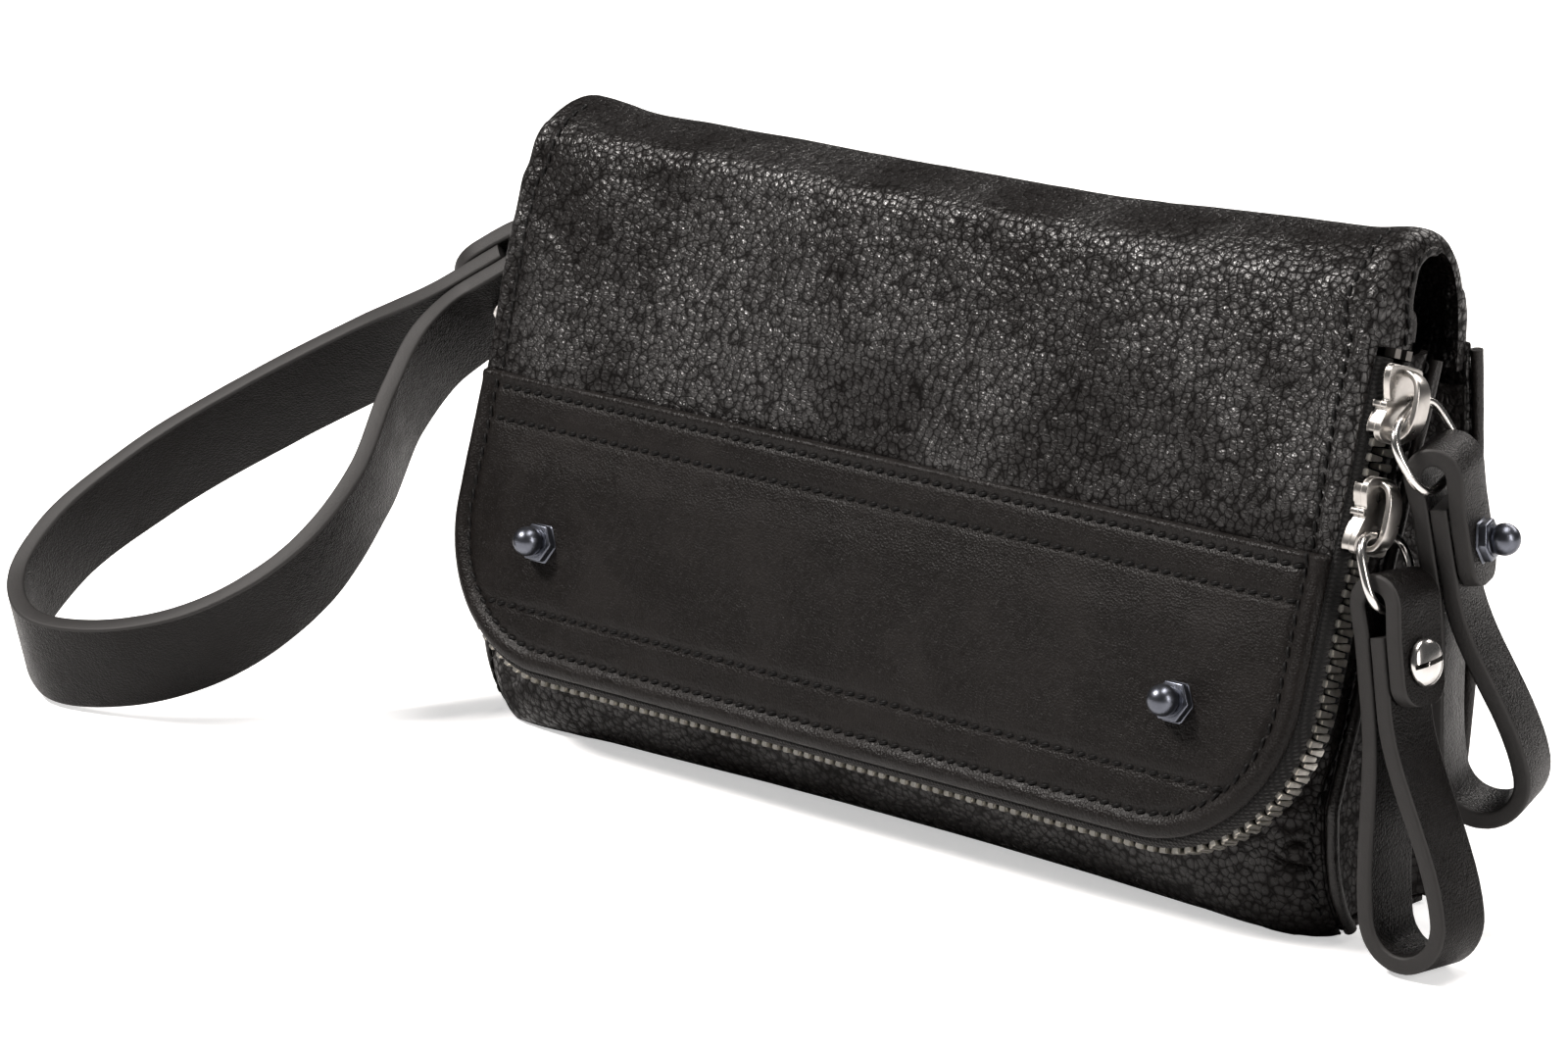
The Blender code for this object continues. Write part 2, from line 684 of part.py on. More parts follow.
def build_slider(word, w_centre, open_end, rise):
    """A slider: two plates on a neck, with a crown over the outer one. open_end is +1
    where the parted rows enter at its upper end, and -1 at its lower end. Returns the
    middle of the eye under its crown."""
    centre = on_flap(HALF_WIDTH + ZIP_OFFSET, w_centre, ZIP_DEPTH)
    half, wide = SLIDER_LONG / 2, SLIDER_WIDE / 2
    tooth = TOOTH_THICK / 2 + GAP
    plate = frame_place(centre, Q, W * open_end, U)

    def shield(scale):
        narrow = wide * 0.72 * scale
        return [
            (narrow, -half),
            (wide * scale, half * 0.15),
            (wide * scale * 0.95, half * 0.8),
            (wide * scale * 0.55, half),
            (-wide * scale * 0.55, half),
            (-wide * scale * 0.95, half * 0.8),
            (-wide * scale, half * 0.15),
            (-narrow, -half),
        ]

    antique = metal("slider_silver_" + word, ANTIQUE, 0.3)
    name = f"{word}_slider"
    body = prism(name, shield(1.0), plate, tooth, tooth + PLATE_THICK, antique)
    inner = prism(name + "_inner", shield(0.55), plate, -tooth - 0.9 * MM, -tooth, None)
    neck_outline = [(-0.35, half - 3.6 * MM), (0.35, half - 3.6 * MM)]
    neck_outline += [(0.35, half - 0.5 * MM), (-0.35, half - 0.5 * MM)]
    neck_outline = [(a * MM, b) for a, b in neck_outline]
    neck_reach = tooth + 0.4 * MM
    neck = prism(name + "_neck", neck_outline, plate, -neck_reach, neck_reach, None)
    top = tooth + PLATE_THICK
    bar = CROWN_BAR
    arch_points = [
        (half - 0.4 * MM, top - 0.4 * MM),
        (half - 0.5 * MM, top + rise * 0.55),
        (half - 2.2 * MM, top + rise),
        (-half + 2.4 * MM, top + rise),
        (-half + 0.6 * MM, top + rise * 0.55),
        (-half + 0.5 * MM, top - 0.4 * MM),
        (-half + 0.5 * MM + bar, top - 0.4 * MM),
        (-half + 0.6 * MM + bar, top + rise * 0.45),
        (-half + 2.6 * MM + bar * 0.5, top + rise - bar),
        (half - 2.4 * MM - bar * 0.5, top + rise - bar),
        (half - 0.6 * MM - bar, top + rise * 0.45),
        (half - 0.5 * MM - bar, top - 0.4 * MM),
    ]
    arch_place = frame_place(centre, W * open_end, U, Q)
    crown_half = CROWN_WIDE / 2
    crown = prism(name + "_crown", arch_points, arch_place, -crown_half, crown_half, None)
    for piece in (inner, neck, crown):
        boolean(body, piece, "UNION")
    set_origin(body, centre)
    return centre + U * (top + (rise - bar) / 2)


def ring_outline(half, steps=22, power=3.0):
    """A rounded ring, with its top at 0 and its foot at RING_DROP down."""
    points = []
    for k in range(steps):
        a = 2 * math.pi * k / steps
        c, s = math.cos(a), math.sin(a)
        across = half * math.copysign(abs(c) ** (2 / power), c)
        down = RING_DROP / 2 * (1 - math.copysign(abs(s) ** (2 / power), s))
        points.append((across, down))
    return points


def build_ring(name, pivot, down, across, outline, wire, finish):
    side = (across - down * across.dot(down)).normalized()
    normal = down.cross(side).normalized()
    rings = []
    count = len(outline)
    for k in range(count):
        before, after = outline[k - 1], outline[(k + 1) % count]
        along = side * (after[0] - before[0]) + down * (after[1] - before[1])
        outward = along.normalized().cross(normal)
        centre = pivot + side * outline[k][0] + down * outline[k][1]
        rings.append([centre + outward * x + normal * y for x, y in disc(wire, 6)])
    made = swept(name, rings, finish, closed=True, smooth_angle=80)
    set_origin(made, pivot)
    return side


def ease(t):
    return t * t * (3 - 2 * t)


def loop_profile(tab_end):
    """Centre line of a doubled strap round a ring's foot at (0, 0), as (outwards, down).

    It starts at the front tab's end, goes up and over the ring, down the back, round
    the loop's foot and up again between the two, and ends just below the ring.
    """
    thick, belly = PULL_THICK, PULL_BELLY
    layer = thick + GAP
    bend = HOLLOW_HALF + thick / 2
    shoulder = bend - HOLLOW_TOP - thick / 2
    clamp_top = 4.0 * MM
    tab_steps = (0.0, 0.7 * MM, 2.0 * MM, 4.2 * MM)
    points = [(layer, tab_end - step) for step in tab_steps]
    points.append((layer, clamp_top))
    for k in range(7):
        a = math.pi * k / 6
        points.append((bend * math.cos(a), shoulder - bend * math.sin(a)))
    points.append((-layer, clamp_top))
    start = tab_end + 0.5 * MM
    foot = PULL_REACH - thick / 2 - belly
    swell = [k / 5 for k in range(6)]
    for t in swell[:-1]:
        points.append((-layer - (belly - layer) * ease(t), start + (foot - start) * t))
    for k in range(7):
        a = math.pi * k / 6
        points.append((-belly * math.cos(a), foot + belly * math.sin(a)))
    for t in reversed(swell[:-1]):
        points.append((belly * ease(t), start + (foot - start) * t))
    points.append((0.0, clamp_top - 0.4 * MM))
    return points


def tab_widths(path, half):
    """Half widths that round off the strap's first end."""
    widths = []
    reach = 0.0
    for k, point in enumerate(path):
        reach += (point - path[k - 1]).length if k else 0.0
        inset = half - min(reach, half)
        widths.append(max(0.28 * half, math.sqrt(half * half - inset * inset)))
    return widths


def build_pull(name, foot, down, across, finish, tab_end):
    """A leather loop pull that hangs from a ring's foot. Returns its screw's place."""
    across = (across - down * across.dot(down)).normalized()
    normal = down.cross(across).normalized()
    profile = loop_profile(tab_end)
    centres = [foot + normal * a + down * b for a, b in profile]
    widths = tab_widths(centres, PULL_WIDE / 2)
    made = ribbon(name, centres, [across] * len(centres), widths, PULL_THICK, finish)
    screw = foot + down * (tab_end - SCREW_INSET)
    hole = rod(name + "_hole", screw, normal, across, STUD_HOLE, -12 * MM, 12 * MM, None)
    boolean(made, hole, "DIFFERENCE")
    set_origin(made, foot)
    return screw, normal, across


def slotted_screw(name, at, axis, side, post_long, finish):
    """A domed screw with a slot, and a plain shank towards the back."""
    other = axis.cross(side).normalized()
    side = side.normalized()
    head = 3.9 * MM
    profile = [(-post_long, STUD_POST), (0.0, STUD_POST), (0.0, head), (0.5 * MM, head)]
    profile += [(1.2 * MM, 3.2 * MM), (1.7 * MM, 2.1 * MM), (1.95 * MM, 0.8 * MM)]
    made = turned(name, at, axis, side, profile, finish, sides=18)
    turn = math.radians(15)
    along = side * math.cos(turn) + other * math.sin(turn)
    across = axis.cross(along)
    place = frame_place(at, along, across, axis)
    bar = [(-5 * MM, -0.5 * MM), (5 * MM, -0.5 * MM), (5 * MM, 0.5 * MM), (-5 * MM, 0.5 * MM)]
    boolean(made, prism(name + "_slot", bar, place, 1.0 * MM, 3.0 * MM, None), "DIFFERENCE")
    return made


def fasten_pull(word, screw, normal, across, kind, origin):
    """The screw or ball stud through a pull's three layers, with a round nut behind."""
    stack = 1.5 * PULL_THICK + GAP
    at = screw + normal * (stack + GAP)
    post_long = 2 * stack + 2 * GAP + 1.6 * MM
    if kind == "slotted":
        finish = metal("polished_nickel_" + word, NICKEL, 0.12)
        made = slotted_screw(f"{word}_pull_screw", at, normal, across, post_long, finish)
    else:
        finish = metal("gunmetal_" + word, GUNMETAL, 0.25)
        made = ball_stud(f"{word}_pull_stud", at, normal, across, post_long, finish)
    behind = screw - normal * (stack + GAP)
    nut = round_nut(f"{word}_pull_nut", behind, -normal, across, finish, radius=2.7 * MM)
    set_origin(made, origin)
    set_origin(nut, origin)


def build_pulls():
    upper = build_slider("upper", UPPER_SLIDER_W, -1, UPPER_CROWN_RISE)
    lower = build_slider("lower", LOWER_SLIDER_W, 1, LOWER_CROWN_RISE)
    wire = metal("ring_nickel", NICKEL, 0.15)
    lower_pivot = lower - W * 2.6 * MM
    upper_pivot = upper - W * 0.8 * MM
    strap = leather("pull_leather", 0.018, 0.48)
    down = Vector((0.399, -0.149, -0.913)).normalized()
    across = Vector((-0.1, 0.98, -0.204))
    outline = ring_outline(LOWER_RING_HALF)
    build_ring("lower_ring", lower_pivot, down, across, outline, RING_WIRE, wire)
    foot = lower_pivot + down * RING_DROP
    hang = Vector((0.19, -0.07, -1.0)).normalized()
    screw = build_pull("lower_pull", foot, hang, Vector((0, 1, -0.07)), strap, LOWER_TAB_END)
    fasten_pull("lower", *screw, "slotted", foot)
    down = Vector((0.369, 0.337, -0.868)).normalized()
    across = Vector((-0.19, 0.942, 0.285))
    outline = ring_outline(UPPER_RING_HALF)
    build_ring("upper_ring", upper_pivot, down, across, outline, RING_WIRE, wire)
    foot = upper_pivot + down * RING_DROP
    hang = Vector((0.122, 0.126, -0.985)).normalized()
    across = Vector((-0.306, 0.949, 0.08))
    screw = build_pull("upper_pull", foot, hang, across, strap, UPPER_TAB_END)
    fasten_pull("upper", *screw, "ball", foot)


# ---------------------------------------------------------------- wrist strap

STRAP_ROOT = Vector((-111.3, 8.6, 81.2)) * MM
STRAP_DOWN = Vector((-0.72, -0.45, -0.53)).normalized()
STRAP_SIDE = Vector((0.06, -0.78, 0.62))
STRAP_RING_DROP = 8.3 * MM
STRAP_RING_HALF = 11.8 * MM


def strap_axes():
    side = (STRAP_SIDE - STRAP_DOWN * STRAP_SIDE.dot(STRAP_DOWN)).normalized()
    return side, side.cross(STRAP_DOWN).normalized()


def build_strap_ring():
    """An oblong wire ring between the wallet's tab and the strap."""
    side, _ = strap_axes()
    pivot = STRAP_ROOT - STRAP_DOWN * STRAP_RING_DROP
    outline = []
    corner = 3.4 * MM
    for x, y, start in ((1, 1, 0), (-1, 1, 1), (-1, 0, 2), (1, 0, 3)):
        cx = x * (STRAP_RING_HALF - corner)
        cy = corner + y * (STRAP_RING_DROP - 2 * corner)
        for k in range(4):
            a = math.pi / 2 * (start + k / 3)
            outline.append((cx + corner * math.cos(a), cy + corner * math.sin(a)))
    finish = metal("strap_ring_nickel", NICKEL, 0.15)
    build_ring("strap_ring", pivot, STRAP_DOWN, side, outline, 1.1 * MM, finish)
    return pivot


def build_strap_tab(pivot):
    """The leather tab on the wallet's rear left corner that holds the ring."""
    side, normal = strap_axes()
    seam = Vector((-HALF_WIDTH - 4.7 * MM, 18.6 * MM, 91.4 * MM))
    reach = seam - pivot
    reach -= side * reach.dot(side)
    seam = pivot + reach
    inward = reach.normalized()
    lift = side.cross(inward).normalized()
    bend = 2.0 * MM
    points = [seam + lift * 0.8 * MM, pivot.lerp(seam, 0.5) + lift * 1.1 * MM]
    for k in range(5):
        a = math.pi / 2 - math.pi * k / 4
        points.append(pivot + lift * (bend * math.sin(a)) - inward * (bend * math.cos(a)))
    points += [pivot.lerp(seam, 0.5) - lift * 1.1 * MM, seam - lift * 0.8 * MM]
    widths = [6.5 * MM] * len(points)
    ribbon("strap_tab", points, [side] * len(points), widths, 1.1 * MM, leather("tab_leather"))


def build_wrist_strap():
    """One strap: tab over the ring, down the front run, round the hand loop and back."""
    side, normal = strap_axes()
    layer = STRAP_THICK + GAP

    def local(outward, down):
        return STRAP_ROOT + normal * outward + STRAP_DOWN * down

    bend = 1.6 * MM + STRAP_THICK / 2
    points = [local(-layer, d * MM) for d in (17.0, 15.5, 13.0, 9.0, 4.0)]
    for k in range(5):
        a = math.pi * k / 4
        points.append(local(-bend * math.cos(a), -bend * math.sin(a)))
    points += [local(layer, d * MM) for d in (4.0, 9.0, 12.5)]
    sides = [side] * len(points)
    front_run = [
        ((-122.3, -8.5, 65.2), (0.2, -0.74, 0.66)),
        ((-121.6, -19.0, 56.0), (0.35, -0.72, 0.61)),
        ((-118.8, -30.5, 43.0), (0.37, -0.73, 0.57)),
        ((-121.5, -45.0, 28.0), (0.23, -0.67, 0.70)),
        ((-132.0, -60.0, 16.8), (0.10, -0.56, 0.82)),
        ((-149.0, -70.5, 11.2), (0.02, -0.43, 0.90)),
        ((-167.0, -72.5, 10.6), (0.08, -0.33, 0.94)),
        ((-179.0, -65.0, 15.8), (0.25, -0.42, 0.87)),
        ((-181.3, -54.0, 23.8), (0.23, -0.55, 0.81)),
        ((-174.5, -37.0, 36.0), (0.12, -0.62, 0.77)),
        ((-158.0, -19.0, 50.2), (0.02, -0.67, 0.75)),
        ((-139.5, -6.0, 62.4), (-0.04, -0.71, 0.70)),
    ]
    for place, across in front_run:
        points.append(Vector(place) * MM)
        sides.append(Vector(across))
    points += [local(0.0, d * MM) for d in (17.0, 12.0, 4.0)]
    sides += [side] * 3
    spans = [(b - a).length for a, b in zip(points, points[1:])]
    path = smooth_path(points, spans, 3)
    widths_to = smooth_path(sides, spans, 3)
    widths = tab_widths(path, STRAP_WIDE / 2)
    finish = leather("strap_leather", 0.018, 0.48)
    made = ribbon("wrist_strap", path, widths_to, widths, STRAP_THICK, finish)
    screw = local(0.0, 9.0 * MM)
    hole = rod("strap_hole", screw, normal, side, STUD_HOLE, -12 * MM, 12 * MM, None)
    boolean(made, hole, "DIFFERENCE")
    set_origin(made, STRAP_ROOT)
    stack = 1.5 * STRAP_THICK + 1.5 * GAP
    nickel = metal("strap_nickel", NICKEL, 0.15)
    at = screw - normal * (stack + GAP)
    head = slotted_screw("strap_screw", at, -normal, side, 2 * stack + 2.2 * MM, nickel)
    nut = round_nut("strap_nut", screw + normal * (stack + GAP), normal, side, nickel)
    set_origin(head, STRAP_ROOT)
    set_origin(nut, STRAP_ROOT)


def main():
    for old in list(bpy.data.objects):
        bpy.data.objects.remove(old, do_unlink=True)
    build_flap()
    for side, word in ((1, "right"), (-1, "left")):
        build_flap_stud(side, word)
        build_gusset(side, word)
        build_seam_piping(side, word)
    build_zip()
    build_front()
    build_back()
    build_base()
    build_top_fold()
    build_inside()
    build_pulls()
    build_strap_tab(build_strap_ring())
    build_wrist_strap()


main()
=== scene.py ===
"""Looks of the wristlet wallet: leather, stitching, meshed zip and polished fittings.

Everything is built in the wallet's own frame, in metres: X across the width, -Y towards
the front, +Z up. The flap has its own axes: u across, w up the flap and q into the wallet.
"""

import json
from math import cos, pi, radians, sin, sqrt

import bmesh
import bpy
import numpy as np
from mathutils import Matrix, Vector


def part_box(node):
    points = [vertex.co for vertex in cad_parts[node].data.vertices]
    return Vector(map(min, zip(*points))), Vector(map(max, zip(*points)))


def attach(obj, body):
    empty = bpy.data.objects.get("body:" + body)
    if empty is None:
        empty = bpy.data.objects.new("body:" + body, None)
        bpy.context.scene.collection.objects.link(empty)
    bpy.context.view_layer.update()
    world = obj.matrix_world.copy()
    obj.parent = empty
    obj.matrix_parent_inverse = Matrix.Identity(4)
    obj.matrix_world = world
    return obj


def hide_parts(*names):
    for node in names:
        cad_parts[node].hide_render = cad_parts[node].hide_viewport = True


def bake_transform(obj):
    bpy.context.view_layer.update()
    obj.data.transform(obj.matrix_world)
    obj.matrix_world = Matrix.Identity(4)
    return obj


MM = 0.001
DARK_HIDE = (0.010, 0.009, 0.0088)
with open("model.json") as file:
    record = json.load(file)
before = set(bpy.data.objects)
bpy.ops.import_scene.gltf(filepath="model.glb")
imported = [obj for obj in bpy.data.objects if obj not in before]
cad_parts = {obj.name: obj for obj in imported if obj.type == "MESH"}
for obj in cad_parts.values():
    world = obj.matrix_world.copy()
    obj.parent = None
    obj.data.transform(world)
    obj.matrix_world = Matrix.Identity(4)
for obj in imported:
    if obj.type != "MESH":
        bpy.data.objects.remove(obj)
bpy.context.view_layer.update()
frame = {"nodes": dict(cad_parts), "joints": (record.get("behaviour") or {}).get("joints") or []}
joints = {j["name"]: j for j in frame["joints"]}


def vec(*values):
    return np.array(values, float)


def pivot_of(joint):
    return vec(*joints[joint]["pos_m"])


def axis_of(joint):
    return unit(joints[joint]["axis"])


def unit(v):
    v = np.asarray(v, float)
    return v / np.linalg.norm(v, axis=-1, keepdims=True)


SIDES = ((1, "right"), (-1, "left"))


def corner(node, which):
    return np.array(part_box(node)[which], float)


# ---- the flap's own axes

U = vec(1, 0, 0)
W = axis_of("upper_slide")
Q = vec(0, W[2], -W[1])
HINGE = pivot_of("flap_hinge")
HALF = corner("flap_band", 1)[0]
HINGE_W = 91.2 * MM
HINGE_Q = 0.5 * MM
LOW = 2.6 * MM
RADIUS = 28.2 * MM
BAND_TOP = 55.5 * MM
ZIP_OUT = 1.2 * MM
ZIP_Q = 5.4 * MM
ZIP_TOP = 89.2 * MM


def on_flap(u, w, q):
    u, w, q = np.broadcast_arrays(u, w, q)
    return HINGE + U * u[..., None] + W * (w - HINGE_W)[..., None] + Q * (q - HINGE_Q)[..., None]


def step(x, low, high):
    t = np.clip((np.asarray(x, float) - low) / (high - low), 0, 1)
    return t * t * (3 - 2 * t)


def bump(x, centre, width):
    return np.exp(-(((np.asarray(x, float) - centre) / width) ** 2))


def root(x):
    return np.sqrt(np.maximum(x, 0))


def run_lengths(points):
    """Distance along a path at each of its points."""
    return np.concatenate([[0], np.cumsum(np.linalg.norm(np.diff(points, axis=0), axis=1))])


def full_turn(count):
    return 2 * pi * np.arange(count) / count


def square_to(side, ahead):
    """The part of side that is square to ahead, and the direction square to both."""
    side = unit(side - ahead * (side * ahead).sum(-1, keepdims=True))
    return side, np.cross(ahead, side)


NOISE_CELLS = 32


def noise(points, size, seed, octaves=3):
    """Smooth noise, about -1 to 1, with its largest features about size across."""
    total = 0.0
    for k in range(octaves):
        grid = np.random.default_rng(seed + k).uniform(-1, 1, (NOISE_CELLS,) * 3)
        p = np.asarray(points, float) / (size / 2**k) + 64.37
        cell = np.floor(p).astype(int)
        f = p - cell
        f = f * f * f * (f * (f * 6 - 15) + 10)
        layer = 0.0
        for near in np.ndindex(2, 2, 2):
            share = np.prod(np.where(near, f, 1 - f), -1)
            layer = layer + share * grid[tuple(np.moveaxis((cell + near) % NOISE_CELLS, -1, 0))]
        total = total + layer / 2**k
    return total


class Track:
    """The U round the flap, moved outwards by offset. s runs from the right end's top."""

    def __init__(self, top, offset=0.0):
        self.top, self.radius = top, RADIUS + offset
        self.half, self.low = HALF + offset, LOW - offset
        self.bend_w, self.bend_u = self.low + self.radius, self.half - self.radius
        self.side = top - self.bend_w
        self.arc = self.radius * pi / 2
        self.length = 2 * (self.side + self.arc + self.bend_u)

    def at(self, s):
        s = np.asarray(s, float)
        mirror = np.where(s > self.length / 2, -1.0, 1.0)
        s = np.where(s > self.length / 2, self.length - s, s)
        angle = np.clip((s - self.side) / self.radius, 0, pi / 2)
        c, n = np.cos(angle), np.sin(angle)
        base = np.maximum(s - self.side - self.arc, 0)
        u = self.bend_u + self.radius * c - base
        w = np.where(s < self.side, self.top - s, self.bend_w - self.radius * n)
        return mirror * u, w, mirror * c, -n

    def inside(self, u, w):
        """Distance in from the U's line, positive inside."""
        u = np.abs(u)
        du, dw = u - self.bend_u, self.bend_w - w
        far = np.hypot(np.maximum(du, 0), np.maximum(dw, 0)) + np.minimum(np.maximum(du, dw), 0)
        return self.radius - far

    def bend_rows(self, count):
        """Heights through the rounded corner."""
        return self.bend_w - self.radius * np.cos(np.linspace(0, pi / 2, count))

    def filled(self, w, across):
        """A grid of u and w inside the U, across running from -1 to 1."""
        dip = np.clip(self.bend_w - w, 0, None)
        half = self.bend_u + root(self.radius**2 - dip**2)
        u = half[:, None] * across[None]
        return u, np.broadcast_to(w[:, None], u.shape)


EDGE = Track(HINGE_W)


# ---- materials


class Shader:
    """A Principled material and short ways to add nodes to it."""

    def __init__(self, name, colour, roughness, metallic=0.0, coords="rest"):
        self.material = bpy.data.materials.new(name)
        self.material.use_nodes = True
        self.tree = self.material.node_tree
        self.main = self.tree.nodes["Principled BSDF"]
        self.set(Base_Color=(*colour, 1), Roughness=roughness, Metallic=metallic)
        self.height = None
        if coords == "rest":
            node = self.tree.nodes.new("ShaderNodeAttribute")
            node.attribute_name = "rest"
            self.where = node.outputs["Vector"]
        else:
            self.where = self.tree.nodes.new("ShaderNodeTexCoord").outputs["Object"]

    def put(self, value, socket):
        if isinstance(value, bpy.types.NodeSocket):
            self.tree.links.new(value, socket)
        elif value is not None:
            socket.default_value = value

    def node(self, kind, settings=None, **values):
        made = self.tree.nodes.new(kind)
        for key, value in (settings or {}).items():
            setattr(made, key, value)
        for key, value in values.items():
            self.put(value, made.inputs[key.replace("_", " ")])
        return made

    def set(self, **values):
        """Sets or links inputs of the Principled node."""
        for key, value in values.items():
            self.put(value, self.main.inputs[key.replace("_", " ")])

    def math(self, operation, a, b=None):
        made = self.node("ShaderNodeMath", {"operation": operation})
        self.put(a, made.inputs[0])
        self.put(b, made.inputs[1])
        return made.outputs[0]

    def noise(self, size, detail=3.0, rough=0.55, where=None):
        values = {"Scale": 1 / size, "Detail": detail, "Roughness": rough, "Vector": where or self.where}
        return self.node("ShaderNodeTexNoise", **values).outputs["Fac"]

    def spread(self, value, low, high, to_low=0.0, to_high=1.0):
        made = self.node("ShaderNodeMapRange", {"interpolation_type": "SMOOTHSTEP"})
        for socket, item in zip(made.inputs, (value, low, high, to_low, to_high)):
            self.put(item, socket)
        return made.outputs[0]

    def warped(self, size, amount):
        """Coordinates pushed about by noise, so that grain isn't regular."""
        made = self.node("ShaderNodeTexNoise", Scale=1 / size, Detail=2.0, Vector=self.where)
        shift = self.node("ShaderNodeVectorMath", {"operation": "MULTIPLY_ADD"})
        self.put(made.outputs["Color"], shift.inputs[0])
        shift.inputs[1].default_value = (amount, amount, amount)
        self.put(self.where, shift.inputs[2])
        return shift.outputs[0]

    def domes(self, size, where):
        """Rounded pebbles with a sharp crease wherever two of them meet."""
        sockets = []
        for feature in ("F1", "DISTANCE_TO_EDGE"):
            made = self.node("ShaderNodeTexVoronoi", {"feature": feature}, Scale=1 / size, Randomness=0.9)
            self.put(where, made.inputs["Vector"])
            sockets.append(made.outputs["Distance"])
        middle, edge = sockets
        round_top = self.spread(middle, 0.75, 0.0, 0.0, 0.75)
        return self.plus(round_top, self.spread(edge, 0.0, 0.11, 0.0, 0.25))

    def plus(self, a, b):
        return self.math("ADD", a, b)

    def times(self, a, b):
        return self.math("MULTIPLY", a, b)

    def add_bump(self, height, depth, strength=1.0):
        made = self.node("ShaderNodeBump", Strength=strength, Distance=depth)
        self.put(height, made.inputs["Height"])
        if self.height is not None:
            self.put(self.height, made.inputs["Normal"])
        self.height = made.outputs["Normal"]
        self.put(self.height, self.main.inputs["Normal"])

    def blend_colour(self, factor, low, high):
        made = self.node("ShaderNodeMix", {"data_type": "RGBA"})
        self.put(factor, made.inputs["Factor"])
        for socket in made.inputs:
            if socket.type == "RGBA":
                socket.default_value = (*(low if socket.name == "A" else high), 1)
        colour = [out for out in made.outputs if out.type == "RGBA"][0]
        self.put(colour, self.main.inputs["Base Color"])


def pebbled_leather(name, depth, sheen):
    """Full-grain leather with raised pebbles of mixed size, glossier on their tops; its colour is darker
    in the creases between pebbles, which is painted shade.
    """
    s = Shader(name, DARK_HIDE, 0.5)
    where = s.warped(3.4 * MM, 1.2 * MM)
    large = s.domes(1.5 * MM, where)
    small = s.domes(0.7 * MM, where)
    patches = s.spread(s.noise(26 * MM, 2), 0.34, 0.66)
    soft = s.noise(5.0 * MM, 4)
    strength = s.plus(s.times(patches, 0.5), 0.6)
    grain = s.plus(s.times(large, 0.72), s.times(small, 0.28))
    raised = s.times(grain, strength)
    s.add_bump(s.plus(raised, soft), 0.32 * MM * depth)
    s.add_bump(s.noise(0.24 * MM, 2), 0.02 * MM)
    gloss = s.spread(large, 0.1, 0.8, 0.55, 0.25)
    s.set(Roughness=s.plus(gloss, s.times(s.noise(9 * MM, 3), 0.07)))
    # Colour runs from dark in the creases between pebbles to lighter on their tops: the dark creases are
    # painted shade.
    s.blend_colour(large, (0.0028, 0.0022, 0.0020), (0.0074, 0.0060, 0.0056))
    polish = s.plus(s.times(patches, 0.7), 0.5)
    shine = s.spread(large, 0.05, 0.6, 0.10, sheen)
    s.set(Specular_IOR_Level=s.times(shine, polish))
    return s.material


def smooth_leather(name, colour=(0.0060, 0.0048, 0.0043), rough=0.44, grain=1.0, coords="rest", spec=0.17):
    """Fine-grained leather with faint scuffs and hairline creases."""
    s = Shader(name, colour, rough, coords=coords)
    where = s.warped(1.6 * MM, 0.5 * MM)
    pores = s.domes(0.5 * MM, where)
    soft = s.noise(3.0 * MM, 4)
    s.add_bump(s.plus(pores, s.times(soft, 1.3)), 0.055 * MM * grain)
    hair = s.math("ABSOLUTE", s.plus(s.noise(7 * MM, 3, 0.6, s.warped(5 * MM, 2.5 * MM)), -0.5))
    creases = s.spread(hair, 0.0, 0.022)
    s.add_bump(creases, 0.05 * MM, 0.35 * grain)
    s.add_bump(s.noise(16 * MM, 3), 0.5 * MM, 0.4)
    wear = s.spread(s.noise(14 * MM, 5, 0.65), 0.35, 0.75)
    rubbed = s.plus(wear, s.times(pores, 0.3))
    s.set(Roughness=s.spread(rubbed, 0, 1.3, rough - 0.06, rough + 0.10))
    s.blend_colour(wear, colour, tuple(1.45 * c for c in colour))
    s.set(Specular_IOR_Level=spec)
    return s.material


def cut_edge():
    """The dyed, rubbed edge of a cut strap: matte and faintly mottled."""
    s = Shader("cut_edge", DARK_HIDE, 0.62)
    s.add_bump(s.noise(0.35 * MM, 4), 0.06 * MM)
    s.blend_colour(s.noise(1.6 * MM, 4), (0.0050, 0.0044, 0.0042), (0.0135, 0.0118, 0.0110))
    return s.material


def woven(name, colour, size, coords="rest"):
    """Close-woven cloth or tape."""
    s = Shader(name, colour, 0.86, coords=coords)
    both = None
    for direction in ("X", "Z"):
        settings = {"bands_direction": direction}
        wave = s.node("ShaderNodeTexWave", settings, Scale=0.31 / size, Distortion=0.4, Vector=s.where)
        both = wave.outputs["Fac"] if both is None else s.times(both, wave.outputs["Fac"])
    s.add_bump(both, 0.35 * MM)
    s.blend_colour(both, tuple(0.45 * c for c in colour), tuple(1.7 * c for c in colour))
    s.set(Sheen_Weight=0.1, Specular_IOR_Level=0.3)
    return s.material


def thread():
    s = Shader("waxed_thread", (0.0022, 0.002, 0.002), 0.5)
    s.add_bump(s.noise(0.25 * MM, 2), 0.05 * MM)
    s.set(Specular_IOR_Level=0.15)
    return s.material


